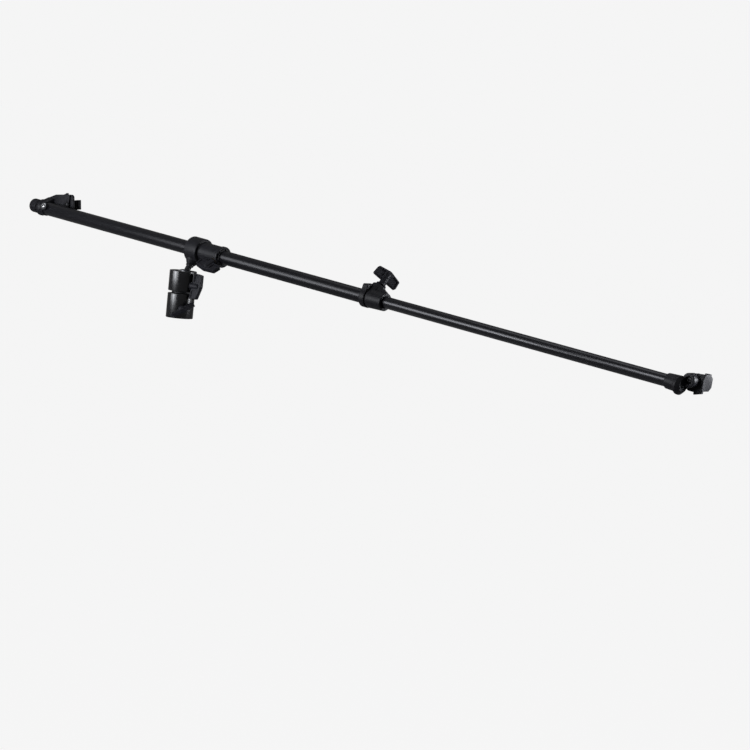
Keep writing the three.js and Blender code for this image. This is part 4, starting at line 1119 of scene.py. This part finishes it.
collarSize = {
    "length": 35.2, "radius": 12, "radiusEdge": 0.6, "tailRound": 0.5, "tailEdge": 0.3,
    "flange": 12.7, "flangeLength": 8.5, "flangeEdge": 0.8,
    "groove": 1.8, "grooveDepth": 1.2, "grooveEdge": 0.3,
    "lobeReach": 17.2, "lobeWidth": 15, "lobeShare": 0.9, "lobeRound": 2.4, "lobeEdge": 0.6,
    "boss": 10, "bossReach": 18.5, "bossEdge": 0.9, "ribShare": 0.75, "ribEdge": 0.5,
    "tubeSeat": 6.5, "seatRadius": 9.3, "guide": 7.8, "insert": 5.3,
}


def collarSleeve(size):
    radius, flange, length = size["radius"], size["flange"], size["length"]
    step, floor = size["flangeLength"], radius - size["grooveDepth"]
    start = step + size["groove"]
    return along(lathe("collar", roundedOutline([
        (0, 0), (flange, 0, size["flangeEdge"]), (flange, step, size["flangeEdge"]),
        (floor, step, size["grooveEdge"]), (floor, start, size["grooveEdge"]),
        (radius, start, size["radiusEdge"]), (radius - chamfer, length - chamfer, size["tailRound"]),
        (radius - 2 * chamfer, length, size["tailEdge"]), (0, length),
    ]), facets["tube"]), "X")


def collarLobe(size):
    # flat-topped rise of the flange
    half, wide, reach = size["lobeWidth"] / 2, size["flange"] * size["lobeShare"], size["lobeReach"]
    outline = roundedOutline([
        (-wide, 0), (wide, 0), (half, reach, size["lobeRound"]), (-half, reach, size["lobeRound"]),
    ], steps=6)
    return moved(prism("lobe", outline, 0, size["flangeLength"], soft=size["lobeEdge"]), acrossX)


def collarRib(size):
    # slopes from the screw's boss to the collar's tail
    start, end = locks["collar"]["station"] + size["boss"] / 2, size["length"] - chamfer
    half = size["boss"] * size["ribShare"]
    low, high = size["radius"] - 2 * chamfer, size["bossReach"] - chamfer
    outline = [(start, 0), (end, 0), (end, low), (start, high)]
    rib = prism("rib", outline, -half, half, soft=size["ribEdge"], upright=True)
    return moved(rib, turn(locks["collar"]["turn"], "X"))


def buildCollar(size):
    body = collarSleeve(size)
    towards = aroundArm(locks["collar"])
    boss = moved(rod("boss", size["boss"], 0, size["bossReach"], facets["cap"], size["bossEdge"]), towards)
    joined(body, collarLobe(size), boss, collarRib(size))
    seat = along(rod("seat", size["seatRadius"], -overrun, size["tubeSeat"], facets["cap"]), "X")
    guide = along(rod("guide", size["guide"], 0, size["length"] + overrun, facets["cap"]), "X")
    pocket = moved(rod("pocket", size["insert"], 0, size["bossReach"] + overrun, facets["knob"]), towards)
    cut(body, seat, guide, pocket)
    finishPiece(body, "lockCollar", "thick_tube", collarPlace, "moulding", "collar_body")


buildCollar(collarSize)
print("lock collar built")

# sleeve on the thin tube's end

endSleeve = {
    "start": 783, "length": 14, "radius": 9.2, "endRadius": 9.9, "startEdge": 0.8, "endEdge": 0.3,
    "bulb": 11.2, "bulbLength": 8.6, "bulbDrop": 1.3, "bulbFoot": 0.4, "footBack": 1.2, "footEdge": 0.6,
    "bulbRise": 1.6, "bulbRound": 2, "cone": 4.4, "tip": 7.4, "tipRound": 0.8,
    "front": 1.2, "back": 12.0, "lug": 8.5, "lugEdge": 1.1, "webHalf": 7.5, "webEdge": 0.4,
    "bore": 7.8, "boreEnd": 797.3, "headRoom": 5.0,
}


def sleeveBulb(size, end):
    radius, tip, foot = size["bulb"], end + size["bulbLength"], end - size["footBack"]
    bulb = along(lathe("bulb", roundedOutline([
        (0, foot), (size["endRadius"] - size["bulbFoot"], foot, size["footEdge"]),
        (radius, end + size["bulbRise"], size["bulbRound"]), (radius, tip - size["cone"], size["tipRound"]),
        (size["tip"], tip, size["tipRound"]), (0, tip),
    ], steps=6), facets["tube"]), "X")
    return moved(bulb, shift(z=-size["bulbDrop"]))


def sleeveWeb(size, end, seat):
    # joins the bulb to the swivel boss
    middle, half, lug = size["start"] + size["length"] / 2, size["webHalf"], size["lug"]
    pivotX, pivotRise = pivots["right"]["station"], pivots["right"]["rise"]
    outline = roundedOutline([
        (middle, -half, chamfer), (end, -half, chamfer), (pivotX, pivotRise - lug + gap),
        (pivotX, pivotRise + lug - gap), (end + size["bulbLength"] / 2, half, chamfer),
        (middle, half, chamfer),
    ], steps=4)
    return prism("web", outline, seat, size["back"], soft=size["webEdge"], upright=True)


def buildSleeve(size):
    start, end, seat = size["start"], size["start"] + size["length"], pivots["right"]["seat"]
    front, back, pivotAt = size["front"], size["back"], atPivot("right")
    body = along(lathe("sleeve", roundedOutline([
        (0, start), (size["radius"], start, size["startEdge"]),
        (size["endRadius"], end + chamfer, size["endEdge"]), (0, end + chamfer),
    ], steps=6), facets["tube"]), "X")
    lug = along(rod("lug", size["lug"], front, back, facets["tube"], size["lugEdge"]), "Y")
    joined(body, sleeveBulb(size, end), sleeveWeb(size, end, seat), moved(lug, pivotAt))
    bore = along(rod("bore", size["bore"], start - overrun, size["boreEnd"], facets["cap"]), "X")
    pivot = along(rod("pivot", pivotHole, front - overrun, back + overrun, facets["hole"]), "Y")
    room = along(rod("room", size["headRoom"], -size["bulb"], seat, facets["pin"]), "Y")
    cut(body, bore, moved(pivot, pivotAt), moved(room, pivotAt))
    finishPiece(body, "endSleeve", "thin_tube", armPlace, "moulding", "right_end_sleeve")


buildSleeve(endSleeve)
print("end sleeve built")

# pieces of the frame that stay, with their own finish

keptNodes = {
    "pan_bolt": "darkSteel", "ball_seat": "nylon", "stem_screw": "steel", "clamp_insert": "brass",
    "collar_insert": "brass", "collar_pad": "nylon", "guide_plug": "nylon",
}
for node, finish in keptNodes.items():
    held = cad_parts[node]
    held.data.materials.clear()
    held.data.materials.append(finishes[finish])
print("frame nodes finished:", len(keptNodes))

# floor, backdrop, light and camera

studio = {
    "floorSize": 240.0, "floorDrop": 0.9, "floorRoughness": 0.9, "floorSpecular": 0.1, "floorGlow": 0.91,
    "paleGrey": (0.36, 0.36, 0.37), "seenWhite": (0.5, 0.5, 0.51), "mirrored": 0.15,
    "backdrop": 0.913, "worldGrey": 0.04, "coolWhite": (0.93, 0.95, 1.0),
}
lamps = {
    "keySoftbox": {
        "place": (-0.24, -0.63, 0.19), "target": (0.0, 0.0, 0.06),
        "power": 4.8, "size": (0.66, 0.36), "spread": 180,
    },
    "tubeSoftbox": {
        "place": (-0.6, -1.6, 0.14), "target": (0.65, 0.0, 0.03),
        "power": 4.6, "size": (0.44, 0.27), "spread": 180,
    },
    "topSoftbox": {
        "place": (0.3, 0.1, 1.6), "target": (0.3, 0.0, 0.05),
        "power": 4.5, "size": (1.8, 0.7), "spread": 180,
    },
    "rightSoftbox": {
        "place": (1.38, 0.58, 0.17), "target": (0.82, 0.0, 0.03),
        "power": 2.6, "size": (0.66, 0.46), "spread": 44,
    },
    "frontSoftbox": {
        "place": (0.5, -0.8, 0.3), "target": (0.84, 0.0, 0.02),
        "power": 0.3, "size": (0.35, 0.35), "spread": 50,
    },
    "backSoftbox": {
        "place": (1.9, 1.7, 0.5), "target": (0.2, 0.0, 0.06),
        "power": 14.0, "size": (1.6, 0.9), "spread": 180,
    },
    "fillSoftbox": {
        "place": (2.0, -1.5, 0.95), "target": (0.3, 0.0, 0.05),
        "power": 1.1, "size": (1.1, 1.1), "spread": 180,
    },
}
camera = {
    "place": (2.8834, -2.8114, 0.3016), "right": (0.7341, 0.6723, 0.0955), "up": (-0.1292, 0.0004, 0.9916),
    "forward": (-0.6666, 0.7403, -0.0872), "lens": 148.1, "sensor": 36.0, "reach": 100,
}


def seenShare(tree, path, mirrored):
    # how far a ray sees the pale studio: camera and clear rays all of it, mirrored rays a share
    glossy = mathNode(tree, "MULTIPLY", path.outputs["Is Glossy Ray"], mirrored)
    clear = mathNode(tree, "MAXIMUM", path.outputs["Is Camera Ray"], path.outputs["Is Transmission Ray"])
    return mathNode(tree, "MAXIMUM", clear, glossy)


def buildFloorMaterial(size):
    # pale surface that the camera sees as nearly white, while shadows stay on it
    material = bpy.data.materials.new("paleFloor")
    material.use_nodes = True
    tree = material.node_tree
    shader = tree.nodes["Principled BSDF"]
    shader.inputs["Roughness"].default_value = size["floorRoughness"]
    shader.inputs["Specular IOR Level"].default_value = size["floorSpecular"]
    path = tree.nodes.new("ShaderNodeLightPath")
    colour = mixColour(tree, path.outputs["Is Camera Ray"], size["paleGrey"], size["seenWhite"])
    tree.links.new(colour, shader.inputs["Base Color"])
    glowing = tree.nodes.new("ShaderNodeEmission")
    mix = tree.nodes.new("ShaderNodeMixShader")
    share = mathNode(tree, "MULTIPLY", seenShare(tree, path, size["mirrored"]), size["floorGlow"])
    tree.links.new(share, mix.inputs["Fac"])
    tree.links.new(shader.outputs["BSDF"], mix.inputs[1])
    tree.links.new(glowing.outputs["Emission"], mix.inputs[2])
    tree.links.new(mix.outputs["Shader"], tree.nodes["Material Output"].inputs["Surface"])
    return material


def buildFloor(size):
    # the arm hangs on its stand well above the floor, so that it can tilt
    half, low = size["floorSize"] / 2, -size["floorDrop"]
    corners = [(-half, -half, low), (half, -half, low), (half, half, low), (-half, half, low)]
    floor = meshObject("studioFloor", [Vector(corner) / mm for corner in corners], [[0, 1, 2, 3]])
    floor.data.materials.append(buildFloorMaterial(size))


def buildBackdrop(size):
    # the backdrop is the world itself: pale where the camera looks, dim for everything it lights
    scene.world = scene.world or bpy.data.worlds.new("studioWorld")
    scene.world.use_nodes = True
    tree = scene.world.node_tree
    path = tree.nodes.new("ShaderNodeLightPath")
    dim, pale = (size["worldGrey"],) * 3, (size["backdrop"],) * 3
    background = tree.nodes["Background"]
    colour = mixColour(tree, seenShare(tree, path, size["mirrored"]), dim, pale)
    tree.links.new(colour, background.inputs["Color"])
    background.inputs["Strength"].default_value = 1.0


def buildLamp(name, size):
    lamp = bpy.data.lights.new(name, "AREA")
    lamp.shape = "RECTANGLE"
    lamp.size, lamp.size_y = size["size"]
    lamp.energy = size["power"]
    lamp.spread = math.radians(size["spread"])
    lamp.color = studio["coolWhite"]
    obj = bpy.data.objects.new(name, lamp)
    scene.collection.objects.link(obj)
    obj.location = size["place"]
    towards = Vector(size["target"]) - Vector(size["place"])
    obj.rotation_euler = towards.to_track_quat("-Z", "Y").to_euler()
    obj.visible_camera = False


def buildCamera(size):
    data = bpy.data.cameras.new("photoCamera")
    data.lens = size["lens"]
    data.sensor_width = size["sensor"]
    data.clip_end = size["reach"]
    obj = bpy.data.objects.new("photoCamera", data)
    scene.collection.objects.link(obj)
    right, up, forward = (Vector(size[key]).normalized() for key in ("right", "up", "forward"))
    rotation = Matrix((right, up, -forward)).transposed().to_4x4()
    obj.matrix_world = Matrix.Translation(Vector(size["place"])) @ rotation
    scene.camera = obj


buildFloor(studio)
buildBackdrop(studio)
for name, lamp in lamps.items():
    buildLamp(name, lamp)
buildCamera(camera)
scene.view_settings.view_transform = "Standard"
print("studio and camera ready")
